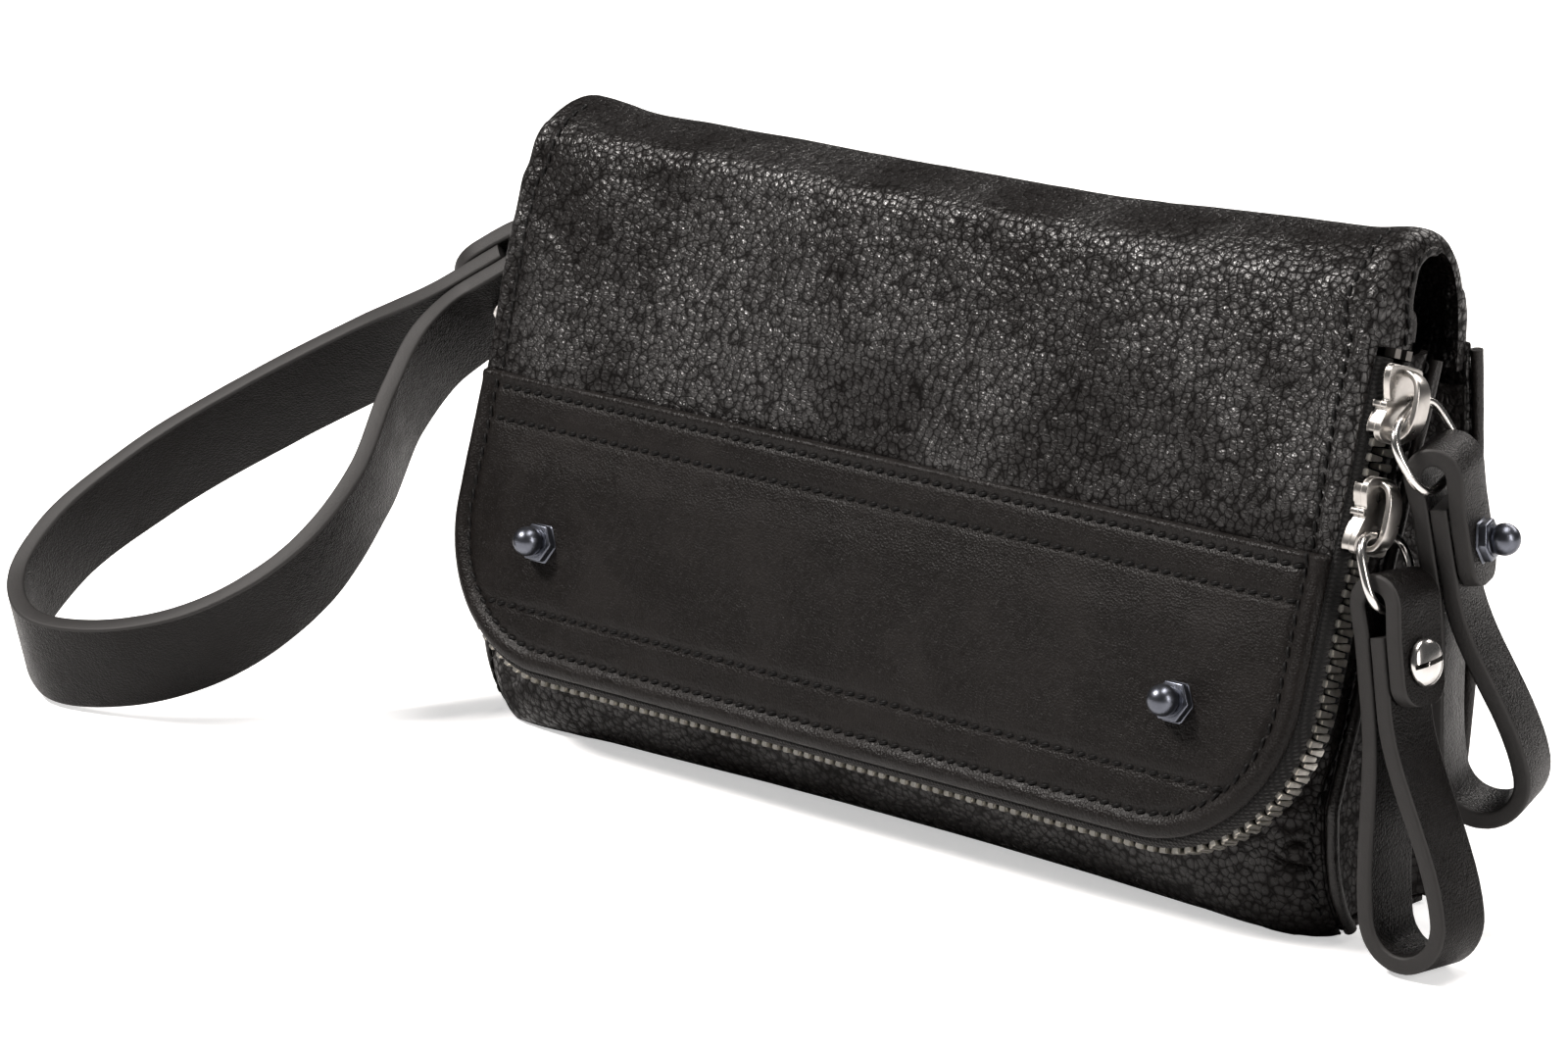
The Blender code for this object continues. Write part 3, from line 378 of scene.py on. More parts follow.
def plated(name, bright, dark, rough, tarnish, coords="rest", reach=0.9 * MM):
    """Plated metal: bright on open faces, darker in worn patches and in hollows; the darkening in hollows
    is the antique silver's own patina, and painted shade on the other metals.
    """
    s = Shader(name, bright, rough, 1.0, coords)
    # Ambient occlusion darkens the colour in hollows: patina on the antique silver, painted shade on the
    # nickel, gunmetal, teeth and stop.
    hollow_patina_and_shade = s.node("ShaderNodeAmbientOcclusion", {"samples": 6}, Distance=reach)
    patches = s.spread(s.noise(2.6 * MM, 4, 0.5), 0.3, 0.8)
    clear = s.spread(hollow_patina_and_shade.outputs["AO"], 0.1, 0.75)
    factor = s.times(clear, s.spread(patches, 0, 1, 1 - tarnish, 1))
    s.blend_colour(factor, dark, bright)
    s.set(Roughness=s.spread(patches, 0, 1, rough + 0.10 * tarnish, rough))
    s.add_bump(s.noise(0.9 * MM, 4), 0.02 * MM, 0.3 * tarnish + 0.05)
    return s.material


PEBBLED = pebbled_leather("pebbled_leather", 1.0, 0.74)
BODY_LEATHER = pebbled_leather("front_leather", 0.7, 0.3)
BAND_LEATHER = smooth_leather("band_leather")
PIPING_LEATHER = smooth_leather("piping_leather", rough=0.38, spec=0.35)
STRAP_LEATHER = smooth_leather("strap_leather", (0.0034, 0.0028, 0.0026), 0.38, 1.8, spec=0.15)
INNER_LEATHER = smooth_leather("inner_leather", (0.016, 0.0145, 0.0135), 0.60, coords="object")
GUSSET_LEATHER = pebbled_leather("gusset_leather", 0.7, 0.25)
EDGE_PAINT = cut_edge()
TAPE = woven("zip_tape", (0.0075, 0.0072, 0.0072), 0.75 * MM)
LINING = woven("lining_cloth", (0.013, 0.013, 0.014), 0.9 * MM)
CAD_LINING = woven("lining_back", (0.013, 0.013, 0.014), 0.9 * MM, coords="object")
THREAD = thread()
ANTIQUE = plated("antique_silver", (0.60, 0.575, 0.545), (0.07, 0.065, 0.06), 0.27, 0.2)
TOOTH_METAL = plated("tooth_silver", (0.92, 0.89, 0.82), (0.10, 0.09, 0.075), 0.30, 0.3, reach=0.6 * MM)
NICKEL = plated("polished_nickel", (0.74, 0.72, 0.70), (0.16, 0.15, 0.14), 0.19, 0.15)
GUNMETAL = plated("gunmetal", (0.15, 0.16, 0.19), (0.02, 0.02, 0.024), 0.30, 0.3)
CAD_METAL = plated("stop_metal", (0.16, 0.15, 0.14), (0.03, 0.03, 0.03), 0.38, 0.3, coords="object")


# ---- mesh building


def linked(name, data):
    """A new object in the scene."""
    made = bpy.data.objects.new(name, data)
    bpy.context.scene.collection.objects.link(made)
    return made


def build(name, vertices, faces, materials, smooth=50, slots=None):
    """A smooth-shaded mesh, with sharp edges where faces meet at more than smooth degrees."""
    mesh = bpy.data.meshes.new(name)
    mesh.from_pydata(vertices.reshape(-1, 3).tolist(), [], faces)
    for item in materials if isinstance(materials, list) else [materials]:
        mesh.materials.append(item)
    if slots is not None:
        mesh.polygons.foreach_set("material_index", np.asarray(slots, np.int32))
    mesh.shade_smooth()
    mesh.set_sharp_from_angle(angle=radians(smooth))
    return linked(name, mesh)


def finished(made, outward=True):
    """Applies modifiers, turns faces outwards and keeps each point's rest place for its grain."""
    if made.modifiers:
        graph = bpy.context.evaluated_depsgraph_get()
        mesh = bpy.data.meshes.new_from_object(made.evaluated_get(graph))
        made.modifiers.clear()
        made.data = mesh
    if outward:
        work = bmesh.new()
        work.from_mesh(made.data)
        bmesh.ops.recalc_face_normals(work, faces=work.faces)
        work.to_mesh(made.data)
        work.free()
    rest = made.data.attributes.new("rest", "FLOAT_VECTOR", "POINT")
    places = np.zeros(len(made.data.vertices) * 3, np.float32)
    made.data.vertices.foreach_get("co", places)
    rest.data.foreach_set("vector", places)
    return made


def grid_faces(rows, columns, start=0, loop_rows=False, loop_columns=False):
    r = np.arange(rows if loop_rows else rows - 1)[:, None] * columns
    c = np.arange(columns if loop_columns else columns - 1)[None]
    next_r, next_c = (r + columns) % (rows * columns), (c + 1) % columns
    return (np.stack([r + c, r + next_c, next_r + next_c, next_r + c], -1).reshape(-1, 4) + start).tolist()


def end_faces(rows, columns):
    """Closes both ends of a tube made of rows of points."""
    return [list(range(columns)), list(range(rows * columns - columns, rows * columns))]


def rim_faces(rows, columns, offset):
    """Joins the borders of two equal grids, the second starting at offset."""
    rim = list(range(columns))
    rim += [r * columns + columns - 1 for r in range(1, rows)]
    rim += [(rows - 1) * columns + c for c in range(columns - 2, -1, -1)]
    rim += [r * columns for r in range(rows - 2, 0, -1)]
    return [(a, a + offset, b + offset, b) for a, b in zip(rim, rim[1:] + rim[:1])]


def normals_of(grid):
    along = np.gradient(grid, axis=0)
    across = np.gradient(grid, axis=1)
    return unit(np.cross(across, along))


def two_sided(name, front, back, material, bevel=0.0):
    """A solid between two equal grids of points."""
    rows, columns = front.shape[:2]
    size = rows * columns
    faces = grid_faces(rows, columns)
    faces += [f[::-1] for f in grid_faces(rows, columns, size)]
    faces += rim_faces(rows, columns, size)
    points = np.concatenate([front.reshape(-1, 3), back.reshape(-1, 3)])
    made = build(name, points, faces, material)
    if bevel:
        soften(made, bevel)
    return finished(made)


def soften(made, width, segments=3, angle=50):
    bevel = made.modifiers.new("soft_edges", "BEVEL")
    bevel.width, bevel.segments = width, segments
    bevel.angle_limit = radians(angle)
    bevel.harden_normals = False
    return made


def swept(name, centres, side, up, section, material, loop=False, smooth=50, slots=None):
    """Sweeps closed sections of (side, up) points, one for each of the centres."""
    rings = centres[:, None] + side[:, None] * section[..., :1] + up[:, None] * section[..., 1:2]
    rows, columns = rings.shape[:2]
    faces = grid_faces(rows, columns, loop_rows=loop, loop_columns=True)
    if not loop:
        faces += end_faces(rows, columns)
    if slots is not None:
        slots = list(slots) * (rows - 1) + [1, 1]
    return finished(build(name, rings, faces, material, smooth, slots))


def tube(name, centres, side, radius, material, loop=False, sides=14):
    """A round wire or bead along centres; side is any direction across it."""
    if loop:
        ahead = unit(np.roll(centres, -1, 0) - np.roll(centres, 1, 0))
    else:
        ahead = unit(np.gradient(centres, axis=0))
    side, up = square_to(np.broadcast_to(side, centres.shape), ahead)
    turn = full_turn(sides)
    section = np.stack([np.cos(turn), np.sin(turn)], -1)
    radius = np.broadcast_to(radius, (len(centres),))
    return swept(name, centres, side, up, section[None] * radius[:, None, None], material, loop, 80)


def rounded_box(wide, thick, radius):
    """A rounded rectangle's outline, and which of its spans are on the narrow sides."""
    steps = 3
    points, narrow = [], []
    for sx, sy, turn in ((1, 1, 0), (-1, 1, 1), (-1, -1, 2), (1, -1, 3)):
        for k in range(steps + 1):
            a = pi / 2 * (turn + k / steps)
            across = sx * (wide / 2 - radius) + radius * cos(a)
            points.append((across, sy * (thick / 2 - radius) + radius * sin(a)))
            narrow.append(0 if (turn % 2 == 0 and k == steps) else 1)
    return np.array(points), narrow


def widened(section, flat, room):
    """One copy of a section for each room, its two halves moved apart from flat to room."""
    sections = np.repeat(section[None], len(room), 0)
    beyond = np.abs(section[:, 0]) - flat
    sections[..., 0] = np.sign(section[:, 0])[None] * (room[:, None] + beyond[None])
    return sections


def smooth_path(points, per_span):
    """A curve through points that doesn't overshoot, and its points' parameters."""
    points = np.asarray(points, float)
    spans = np.linalg.norm(np.diff(points[:, :3], axis=0), axis=1)
    slopes = np.diff(points, axis=0) / spans[:, None]
    middle = slopes[:-1] * spans[1:, None] + slopes[1:] * spans[:-1, None]
    middle /= (spans[:-1] + spans[1:])[:, None]
    tangents = np.concatenate([slopes[:1], middle, slopes[-1:]])
    out = []
    for k, h in enumerate(spans):
        t = (np.arange(per_span) / per_span)[:, None]
        out.append(
            points[k] * (1 + 2 * t) * (1 - t) ** 2
            + tangents[k] * h * t * (1 - t) ** 2
            + points[k + 1] * t * t * (3 - 2 * t)
            + tangents[k + 1] * h * t * t * (t - 1)
        )
    out.append(points[-1:])
    return np.concatenate(out)


def even_path(points, spacing):
    """The same path with points an even distance apart."""
    lengths = run_lengths(points[:, :3])
    count = max(2, int(round(lengths[-1] / spacing)) + 1)
    where = np.linspace(0, lengths[-1], count)
    return np.stack([np.interp(where, lengths, points[:, k]) for k in range(points.shape[1])], -1)


def template(shape, bevel):
    """Points and faces of a small bevelled block, shape giving its full size."""
    work = bmesh.new()
    bmesh.ops.create_cube(work, size=1)
    bmesh.ops.scale(work, vec=shape, verts=work.verts)
    bmesh.ops.bevel(work, geom=work.edges[:] + work.verts[:], offset=bevel, segments=2, affect="EDGES")
    work.verts.ensure_lookup_table()
    result = np.array([v.co[:] for v in work.verts]), [[v.index for v in f.verts] for f in work.faces]
    work.free()
    return result


def scatter(name, shape, places, axes, material):
    """Copies of a template at places; axes holds each copy's three directions."""
    points, faces = shape
    all_points = places[:, None] + np.einsum("pk,nkj->npj", points, axes)
    count = len(points)
    all_faces = [[i + n * count for i in f] for n in range(len(places)) for f in faces]
    return finished(build(name, all_points, all_faces, material, 60), outward=False)


def stitch_shape():
    """One stitch lying along x, with its ends dipping into the leather."""
    rings, around = 7, 7
    t = np.linspace(-1, 1, rings)
    turn = full_turn(around)
    radius = 0.40 * MM * np.sqrt(np.maximum(1 - t**2, 0.02)) ** 0.6
    x = np.repeat(t * 1.12 * MM, around)
    y = np.concatenate([r * np.cos(turn) for r in radius])
    z = np.concatenate([r * np.sin(turn) * 0.85 + 0.10 * MM - 0.34 * MM * a**4 for r, a in zip(radius, t)])
    faces = grid_faces(rings, around, loop_columns=True) + end_faces(rings, around)
    return np.stack([x, y, z], -1), faces


STITCH = stitch_shape()
STITCH_PITCH = 2.65 * MM
STITCH_SLANT = 0.30


def ride(made, body, slot, *nodes):
    """Puts a piece on a body; a piece on "fold" is only baked in place, on no body."""
    if body == "fold":
        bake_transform(made)
    else:
        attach(made, body)
    if nodes:
        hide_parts(*nodes)


def stitch_row(name, path, outward, body):
    """A row of stitches along path; outward points away from the leather."""
    joined = np.concatenate([path, np.broadcast_to(outward, path.shape)], axis=1)
    even = even_path(joined, STITCH_PITCH / 2)[::2]
    centres, up = even[:, :3], unit(even[:, 3:])
    along = unit(np.gradient(centres, axis=0))
    across = np.cross(up, along)
    along = unit(along + across * STITCH_SLANT)
    across = unit(np.cross(up, along))
    axes = np.stack([along, across, np.cross(along, across)], axis=1)
    ride(scatter(name, STITCH, centres, axes, THREAD), body, "smooth_leather")


# ---- the flap's smooth band

SEAM_IN = 4.1 * MM
LOWER_ROW = 13.6 * MM
TOP_ROWS = (52.9 * MM, 47.0 * MM)
BAND_FACE = -0.85 * MM


def rounding(distance, reach):
    """How far a rounded edge has dropped: 1 at the edge, 0 beyond reach."""
    share = np.clip(1 - distance / reach, 0, 1)
    return 1 - root(1 - share**2)


def band_front(u, w):
    """Depth of the band's face: padded, with a rolled edge and sewn lines."""
    inside = EDGE.inside(u, w)
    below_top = BAND_TOP - w
    q = np.full(np.shape(u), BAND_FACE)
    pad = step(inside, 4 * MM, 16 * MM) * step(below_top, 9 * MM, 18 * MM)
    q -= 0.55 * MM * pad
    q -= 0.35 * MM * bump(inside, 1.9 * MM, 1.4 * MM)
    q -= 0.30 * MM * bump(below_top, 1.0 * MM, 0.9 * MM)
    q += 0.46 * MM * bump(inside, SEAM_IN, 0.78 * MM)
    in_field = step(inside, 3.4 * MM, 4.6 * MM)
    q += 0.42 * MM * bump(w, LOWER_ROW, 0.75 * MM) * in_field
    for row in TOP_ROWS:
        q += 0.36 * MM * bump(w, row, 0.75 * MM) * in_field
    q += 1.25 * MM * rounding(inside, 1.5 * MM)
    q += 0.7 * MM * rounding(below_top, 0.8 * MM)
    place = np.stack([u, w, u * 0], -1)
    q = q + 0.22 * MM * noise(place, 30 * MM, 11) + 0.05 * MM * noise(place, 5 * MM, 21)
    pucker = bump(inside, SEAM_IN, 2.2 * MM) + bump(w, LOWER_ROW, 2 * MM) * in_field
    return q + 0.17 * MM * pucker * noise(place, 3.0 * MM, 31, 2)


def spaced(low, high, edge, fine, coarse):
    """Positions from low to high, closer together within edge of each end."""
    ends = np.arange(0, edge, fine)
    count = max(2, int((high - low - 2 * edge) / coarse))
    middle = np.linspace(edge, high - low - edge, count)
    return low + np.concatenate([ends, middle, (high - low) - ends[::-1]])


def stitch_band(name, u, w):
    """Stitches on the band's face."""
    stitch_row(name, on_flap(u, w, band_front(u, w) - 0.08 * MM), -Q, "flap")


def make_band():
    upper = np.arange(EDGE.bend_w + 0.8 * MM, BAND_TOP - 6 * MM, 0.9 * MM)
    rolled = np.arange(BAND_TOP - 6 * MM, BAND_TOP, 0.4 * MM)
    w = np.concatenate([EDGE.bend_rows(44), upper, rolled, [BAND_TOP]])
    u, w = EDGE.filled(w, spaced(-1, 1, 0.075, 0.0045, 0.0075))
    front = on_flap(u, w, band_front(u, w))
    back = on_flap(u, w, 1.45 * MM - 0.9 * MM * rounding(EDGE.inside(u, w), 1.2 * MM))
    made = two_sided("flap_band_leather", front, back, BAND_LEATHER)
    ride(made, "flap", "smooth_leather", "flap_band", "flap_board", "flap_edge_binding")

    seam = Track(BAND_TOP - 1.2 * MM, -SEAM_IN)
    stitch_band("band_edge_stitches", *seam.at(np.linspace(0, seam.length, 700))[:2])
    reach = EDGE.bend_u + sqrt((RADIUS - SEAM_IN) ** 2 - (EDGE.bend_w - LOWER_ROW) ** 2) - 1.6 * MM
    rows = [("band_lower_stitches", LOWER_ROW, reach)]
    for k, row in enumerate(TOP_ROWS):
        rows.append((f"band_upper_stitches_{k + 1}", row, HALF - SEAM_IN - 1.6 * MM))
    for name, row, far in rows:
        u = np.linspace(far, -far, 300)
        stitch_band(name, u, np.full_like(u, row))


# ---- the pebbled leather and its fold


def leather_q(w):
    """Depth of the pebbled leather, which bulges a little between the band and the hinge."""
    return 0.25 * MM - 1.1 * MM * np.sin(pi * np.clip((w - 53 * MM) / (60 * MM), 0, 1))


def fold_profile():
    """Side view of the outer leather from under the band, over the crest, to the back."""
    flap_w = np.array([53.6, 58, 65, 73, 81, 88, 94, 99]) * MM
    points = on_flap(np.zeros(len(flap_w)), flap_w, leather_q(flap_w))[:, 1:]
    # From the crest to the back panel, as y and z in millimetres.
    over = [(-2.4, 113.6), (0.8, 116.0), (4.8, 117.2), (8.8, 117.2), (12.8, 115.5), (15.8, 111.8)]
    over += [(17.4, 106.5), (18.0, 100.0), (17.9, 93.0)]
    points = np.concatenate([points, np.array(over) * MM])
    return even_path(smooth_path(points, 12), 0.72 * MM)


def crest_sag(x):
    """The fold sinks between its two stiffer ends, more towards the left."""
    sag = -3.1 * MM + 1.7 * MM * step(-x, 78 * MM, 100 * MM)
    sag = sag + 2.9 * MM * step(x, 22 * MM, 92 * MM) + 1.2 * MM * bump(x, 95 * MM, 6 * MM)
    return sag + 0.12 * MM * np.sin(x / (17 * MM)) * step(90 * MM - np.abs(x), 0, 25 * MM)


def make_upper_leather():
    profile = fold_profile()
    ahead = unit(np.gradient(profile, axis=0))
    inward = np.stack([ahead[:, 1], -ahead[:, 0]], -1)
    lengths = run_lengths(profile)
    # Height of each row up the flap; rows past the hinge belong to the wallet.
    w_of = (profile - HINGE[1:]) @ W[1:] + HINGE_W
    first = int(np.argmax(w_of > HINGE_W + 0.2 * MM))
    above = lengths - lengths[first]
    depth = np.where(above < 0, 1.6 * MM, 3.0 * MM + 8.0 * MM * (1 - step(above, 0, 24 * MM)))
    turn = np.where(above < 0, 0.9 * MM, 0.9 * MM + 1.9 * MM * step(above, -1 * MM, 3 * MM))
    flat = spaced(-1, 1, 0.075, 0.005, 0.0125)
    angles = np.linspace(0, pi / 2, 6)
    rows = []
    for point, away, r, d in zip(profile, inward, turn, depth):
        wing = np.linspace(d, r, 9)[:-1]
        right = [(HALF, a) for a in wing]
        right += [(HALF - r + r * cos(a), r - r * sin(a)) for a in angles]
        face = [((HALF - r) * -x, 0.0) for x in flat[1:-1]]
        section = np.array(right + face + [(-x, a) for x, a in reversed(right)])
        rows.append(np.column_stack([section[:, 0], point + away * section[:, 1:2]]))
    grid = np.array(rows)
    outward = normals_of(grid)
    if (outward[len(rows) // 3, grid.shape[1] // 2] * Q).sum() > 0:
        outward = -outward
    x, z = grid[..., 0], grid[..., 2]
    high = step(z, 102 * MM, 115 * MM)
    grid[..., 2] += crest_sag(x) * high * step(grid[..., 1], -6 * MM, 2 * MM)
    front = (w_of < HINGE_W + 12 * MM)[:, None] * 1.0
    w_grid = np.broadcast_to(w_of[:, None], x.shape)
    calm = 1 - 0.65 * high * step(grid[..., 1], -16 * MM, -2 * MM)
    lift = calm * (0.95 * MM * noise(grid, 36 * MM, 41, 2) + 0.18 * MM * noise(grid, 8 * MM, 51))
    near_end = bump(np.abs(x), 90 * MM, 12 * MM) * bump(w_grid, 88 * MM, 16 * MM) * front
    lift += 0.9 * MM * near_end * noise(grid * vec(1, 1, 0.8), 13 * MM, 61, 2)
    folds = np.abs(noise(grid * vec(1, 1, 0.45) + vec(0.4, 0, 0.3) * grid[..., 2:3], 17 * MM, 71, 1))
    lift -= 0.5 * MM * (1 - step(folds, 0, 0.13)) * near_end
    sewn = front * step(w_grid, 50 * MM, 56 * MM)
    lift -= 0.45 * MM * bump(HALF - np.abs(x), SEAM_IN, 0.9 * MM) * sewn
    lift += 0.25 * MM * bump(HALF - np.abs(x), 1.8 * MM, 1.3 * MM) * sewn
    tucked = (1 - step(w_grid, 54 * MM, 58 * MM)) * front
    lift -= 0.3 * MM * tucked
    lift *= step(HALF - np.abs(x), -0.1 * MM, 1.2 * MM) * 0.9 + 0.1
    grid = grid + outward * lift[..., None]
    thick = (1.35 - 0.65 * tucked) * MM
    made = two_sided("upper_leather", grid, grid - outward * thick[..., None], PEBBLED, 0.3 * MM)
    ride(made, "fold", "pebbled_leather", "flap_panel", "top_fold")

    chosen = np.where((w_of > BAND_TOP + 1.5 * MM) & (above < 20 * MM))[0]
    wing_rows = np.where((above > 0.8 * MM) & (above < 26 * MM))[0]
    for side, word in SIDES:
        c = int(np.argmin(np.abs(x[0] - side * (HALF - SEAM_IN))))
        up = outward[chosen, c]
        stitch_row(f"flap_side_stitches_{word}", grid[chosen, c] + up * 0.1 * MM, up, "fold")
        c = 2 if side > 0 else grid.shape[1] - 3
        up = outward[wing_rows, c]
        stitch_row(f"wing_stitches_{word}", grid[wing_rows, c] + up * 0.08 * MM, up, "body")
        c = 0 if side > 0 else grid.shape[1] - 1
        bead = grid[wing_rows, c] - outward[wing_rows, c] * 0.5 * MM
        bead[:, 0] = side * (HALF - 0.7 * MM)
        ride(tube(f"wing_bead_{word}", bead, U, 1.0 * MM, PIPING_LEATHER), "body", "smooth_leather")


def make_flap_lining():
    trim = Track(HINGE_W - 1.2 * MM, -2.9 * MM)
    w = np.concatenate([trim.bend_rows(16), np.linspace(trim.bend_w + 2 * MM, trim.top, 34)])
    u, w = trim.filled(w, np.linspace(-1, 1, 70))
    place = np.stack([u, w, u * 0], -1)
    quiet = step(trim.inside(u, w), 0, 12 * MM)
    q = 2.1 * MM + 0.28 * MM * quiet * (noise(place, 26 * MM, 81) + 0.4)
    made = two_sided("flap_lining_cloth", on_flap(u, w, q), on_flap(u, w, q - 0.45 * MM), LINING, 0.1 * MM)
    ride(made, "fold", "lining", "flap_lining")


# ---- zip

EYE_BELOW = {"upper": 0.8 * MM, "lower": 2.6 * MM}
CROWN_RISE = {"upper": 4.6 * MM, "lower": 3.6 * MM}
RING_HALF = {"upper": 8.1 * MM, "lower": 7.7 * MM}
TAB_END = {"upper": 18.0 * MM, "lower": 15.5 * MM}
SCREW_INSET = 7.2 * MM
PULL_THICK = 3.0 * MM
PULL_WIDE = 11.8 * MM
PULL_LENGTH = 59.7 * MM
FLAP_STUD_U = 75.2 * MM
FLAP_STUD_W = 26.1 * MM
ZIP_PITCH = 2.54 * MM
EYES = {word: pivot_of(f"{word}_ring_swing") for word in EYE_BELOW}
SLIDER_W = {word: float((eye - HINGE) @ W) + HINGE_W + EYE_BELOW[word] for word, eye in EYES.items()}


def parted(u, w):
    """Where the rows of teeth stand apart: only between the two sliders, from 0 to 1."""
    between = step(w, SLIDER_W["lower"], SLIDER_W["lower"] + 6 * MM)
    between = between * (1 - step(w, SLIDER_W["upper"] - 6 * MM, SLIDER_W["upper"]))
    return between * (u > 0)


def make_teeth():
    line = Track(ZIP_TOP, ZIP_OUT)
    count = int(line.length / ZIP_PITCH)
    block, faces = template((1.34 * MM, 3.5 * MM, 2.3 * MM), 0.17 * MM)
    for name, sign, start in (("flap_zip_teeth", -1, 0.25), ("body_zip_teeth", 1, 0.75)):
        s = (np.arange(count) + start) * ZIP_PITCH + (line.length - count * ZIP_PITCH) / 2
        u, w, a, b = line.at(s)
        out = U * a[:, None] + W * b[:, None]
        along = np.cross(out, Q)
        q = ZIP_Q + sign * (0.55 * MM + 1.0 * MM * parted(u, w))
        shaped = block.copy()
        tip = shaped[:, 1] * sign < -0.5 * MM
        shaped[tip, 0] *= 0.62
        axes = np.stack([along, np.broadcast_to(Q, along.shape), out], axis=1)
        made = scatter(f"{name}_metal", (shaped, faces), on_flap(u, w, q), axes, TOOTH_METAL)
        ride(made, "fold" if sign < 0 else "body", "antique_silver", name)


def make_tapes():
    for owner, corners in (
        ("flap", [(-2.4, 0.95), (-0.5, 0.95), (0.3, 1.1), (0.7, 1.7), (1.0, 2.4), (1.2, 3.2), (1.2, 3.9)]),
        ("body", [(1.2, 7.1), (1.15, 8.2), (0.7, 9.4), (0.0, 10.4), (-0.7, 11.6)]),
    ):
        line = Track(ZIP_TOP + 0.3 * MM, 0.0)
        s = np.linspace(0, line.length, 420)
        u, w, a, b = line.at(s)
        path = smooth_path(np.array(corners) * MM, 5)
        ahead = unit(np.gradient(path, axis=0))
        away = np.stack([-ahead[:, 1], ahead[:, 0]], -1) * 0.26 * MM
        grids = []
        for edge in (path + away, path - away):
            o, q = edge[:, 0][None], edge[:, 1][None]
            near = -step(q, 1.4 * MM, 3.4 * MM) if owner == "flap" else 1 - step(q, 7.4 * MM, 10 * MM)
            q = q + parted(u, w)[:, None] * near * 0.8 * MM
            grids.append(on_flap(u[:, None] + a[:, None] * o, w[:, None] + b[:, None] * o, q))
        made = two_sided(f"{owner}_tape_weave", *grids, TAPE)
        ride(made, "fold" if owner == "flap" else "body", "zip_tape", f"{owner}_zip_tape")


# ---- wallet body

BASE_FRONT = -12.2 * MM
BACK_TOP = 97.5 * MM
BACK_SEAM = 3.4 * MM
PIPING_X = (corner("front_piping_right", 0)[0] + corner("front_piping_right", 1)[0]) / 2


def seam_y(z):
    """Depth of the front side seams: forward from the base to a bulge, then leaning back."""
    z = np.asarray(z, float)
    turn_z, turn_y, lean = 24 * MM, -19.0 * MM, 0.35
    low = turn_y + (BASE_FRONT - turn_y) * np.clip((turn_z - z) / turn_z, 0, 1) ** 3
    return low + np.maximum(z - turn_z, 0) * lean


def back_y(z):
    """Depth of the back, which bulges at mid height."""
    t = np.clip(np.asarray(z, float) / (98 * MM), 0, 1)
    return 13.5 * MM + 6.3 * MM * t + 6.2 * MM * np.sin(pi * t) ** 0.8 * (1 - 0.45 * t)


def make_front():
    line = Track(HINGE_W - 0.6 * MM, 0.4 * MM)
    half_count = 210
    side_top, side_low = 98 * MM, 41 * MM
    s = np.linspace(0, line.length / 2, half_count)
    u, w, a, b = line.at(s)
    start = on_flap(u, w, 10.0 * MM)
    arc = np.clip((s - line.side) / line.arc, 0, 1)
    base = np.clip((s - line.side - line.arc) / line.bend_u, 0, 1)
    low_z = side_low * (1 - np.minimum(arc / 0.85, 1) ** 1.5)
    z = np.where(s < line.side, side_top + (side_low - side_top) * s / line.side, low_z)
    x = (HALF - 0.2 * MM) - 8.2 * MM * np.clip((arc - 0.85) / 0.15, 0, 1)
    x = np.where(base > 0, (HALF - 8.4 * MM) * (1 - base), x)
    seam = np.stack([x, seam_y(z), z], -1)
    outward = U * a[:, None] + W * b[:, None]
    span = np.linalg.norm(seam - start, axis=1)
    t = np.linspace(0, 1, 34)
    t = t - 0.06 * np.sin(2 * pi * t)
    swell = np.sin(pi * t) ** 0.85
    grid = start[:, None] * (1 - t)[None, :, None] + seam[:, None] * t[None, :, None]
    grid = grid + outward[:, None] * (span[:, None] * 0.20 * swell[None])[..., None]
    left = grid[::-1][1:].copy()
    left[..., 0] *= -1
    grid = np.concatenate([grid, left])
    towards = normals_of(grid)
    if towards[len(grid) // 2, 16, 2] > 0:
        towards = -towards
    quiet = np.sin(pi * t)[None] * (0.12 + 0.88 * step(grid[..., 2], 1 * MM, 15 * MM))
    lift = 0.7 * MM * noise(grid, 26 * MM, 91, 2) + 0.3 * MM * noise(grid, 9 * MM, 101)
    creases = np.abs(noise(grid * vec(0.55, 1, 1.4), 12 * MM, 111, 2))
    lift = lift - 1.3 * MM * (1 - step(creases, 0, 0.2)) * step(np.abs(grid[..., 0]), 45 * MM, 80 * MM)
    room = np.clip(np.concatenate([span, span[::-1][1:]]) / (18 * MM), 0.12, 1)
    grid = grid + towards * (lift * quiet * room[:, None])[..., None]
    grid[..., 2] = np.maximum(grid[..., 2], 0.1 * MM)
    made = two_sided("front_leather_skin", grid, grid - towards * 1.2 * MM, BODY_LEATHER, 0.45 * MM)
    ride(made, "body", "pebbled_leather", "front_panel")
    on_side = (s > 2 * MM) & (s < line.side + 0.8 * line.arc)
    sewn = np.where(on_side & (grid[:half_count, -1, 2] > 3 * MM))[0]
    for word, rows in (("right", sewn), ("left", len(grid) - 1 - sewn)):
        edge, inner = grid[rows, -1], grid[rows, -6]
        up = towards[rows, -4]
        path = edge + unit(inner - edge) * 2.0 * MM + up * 0.12 * MM
        stitch_row(f"front_seam_stitches_{word}", path, up, "body")


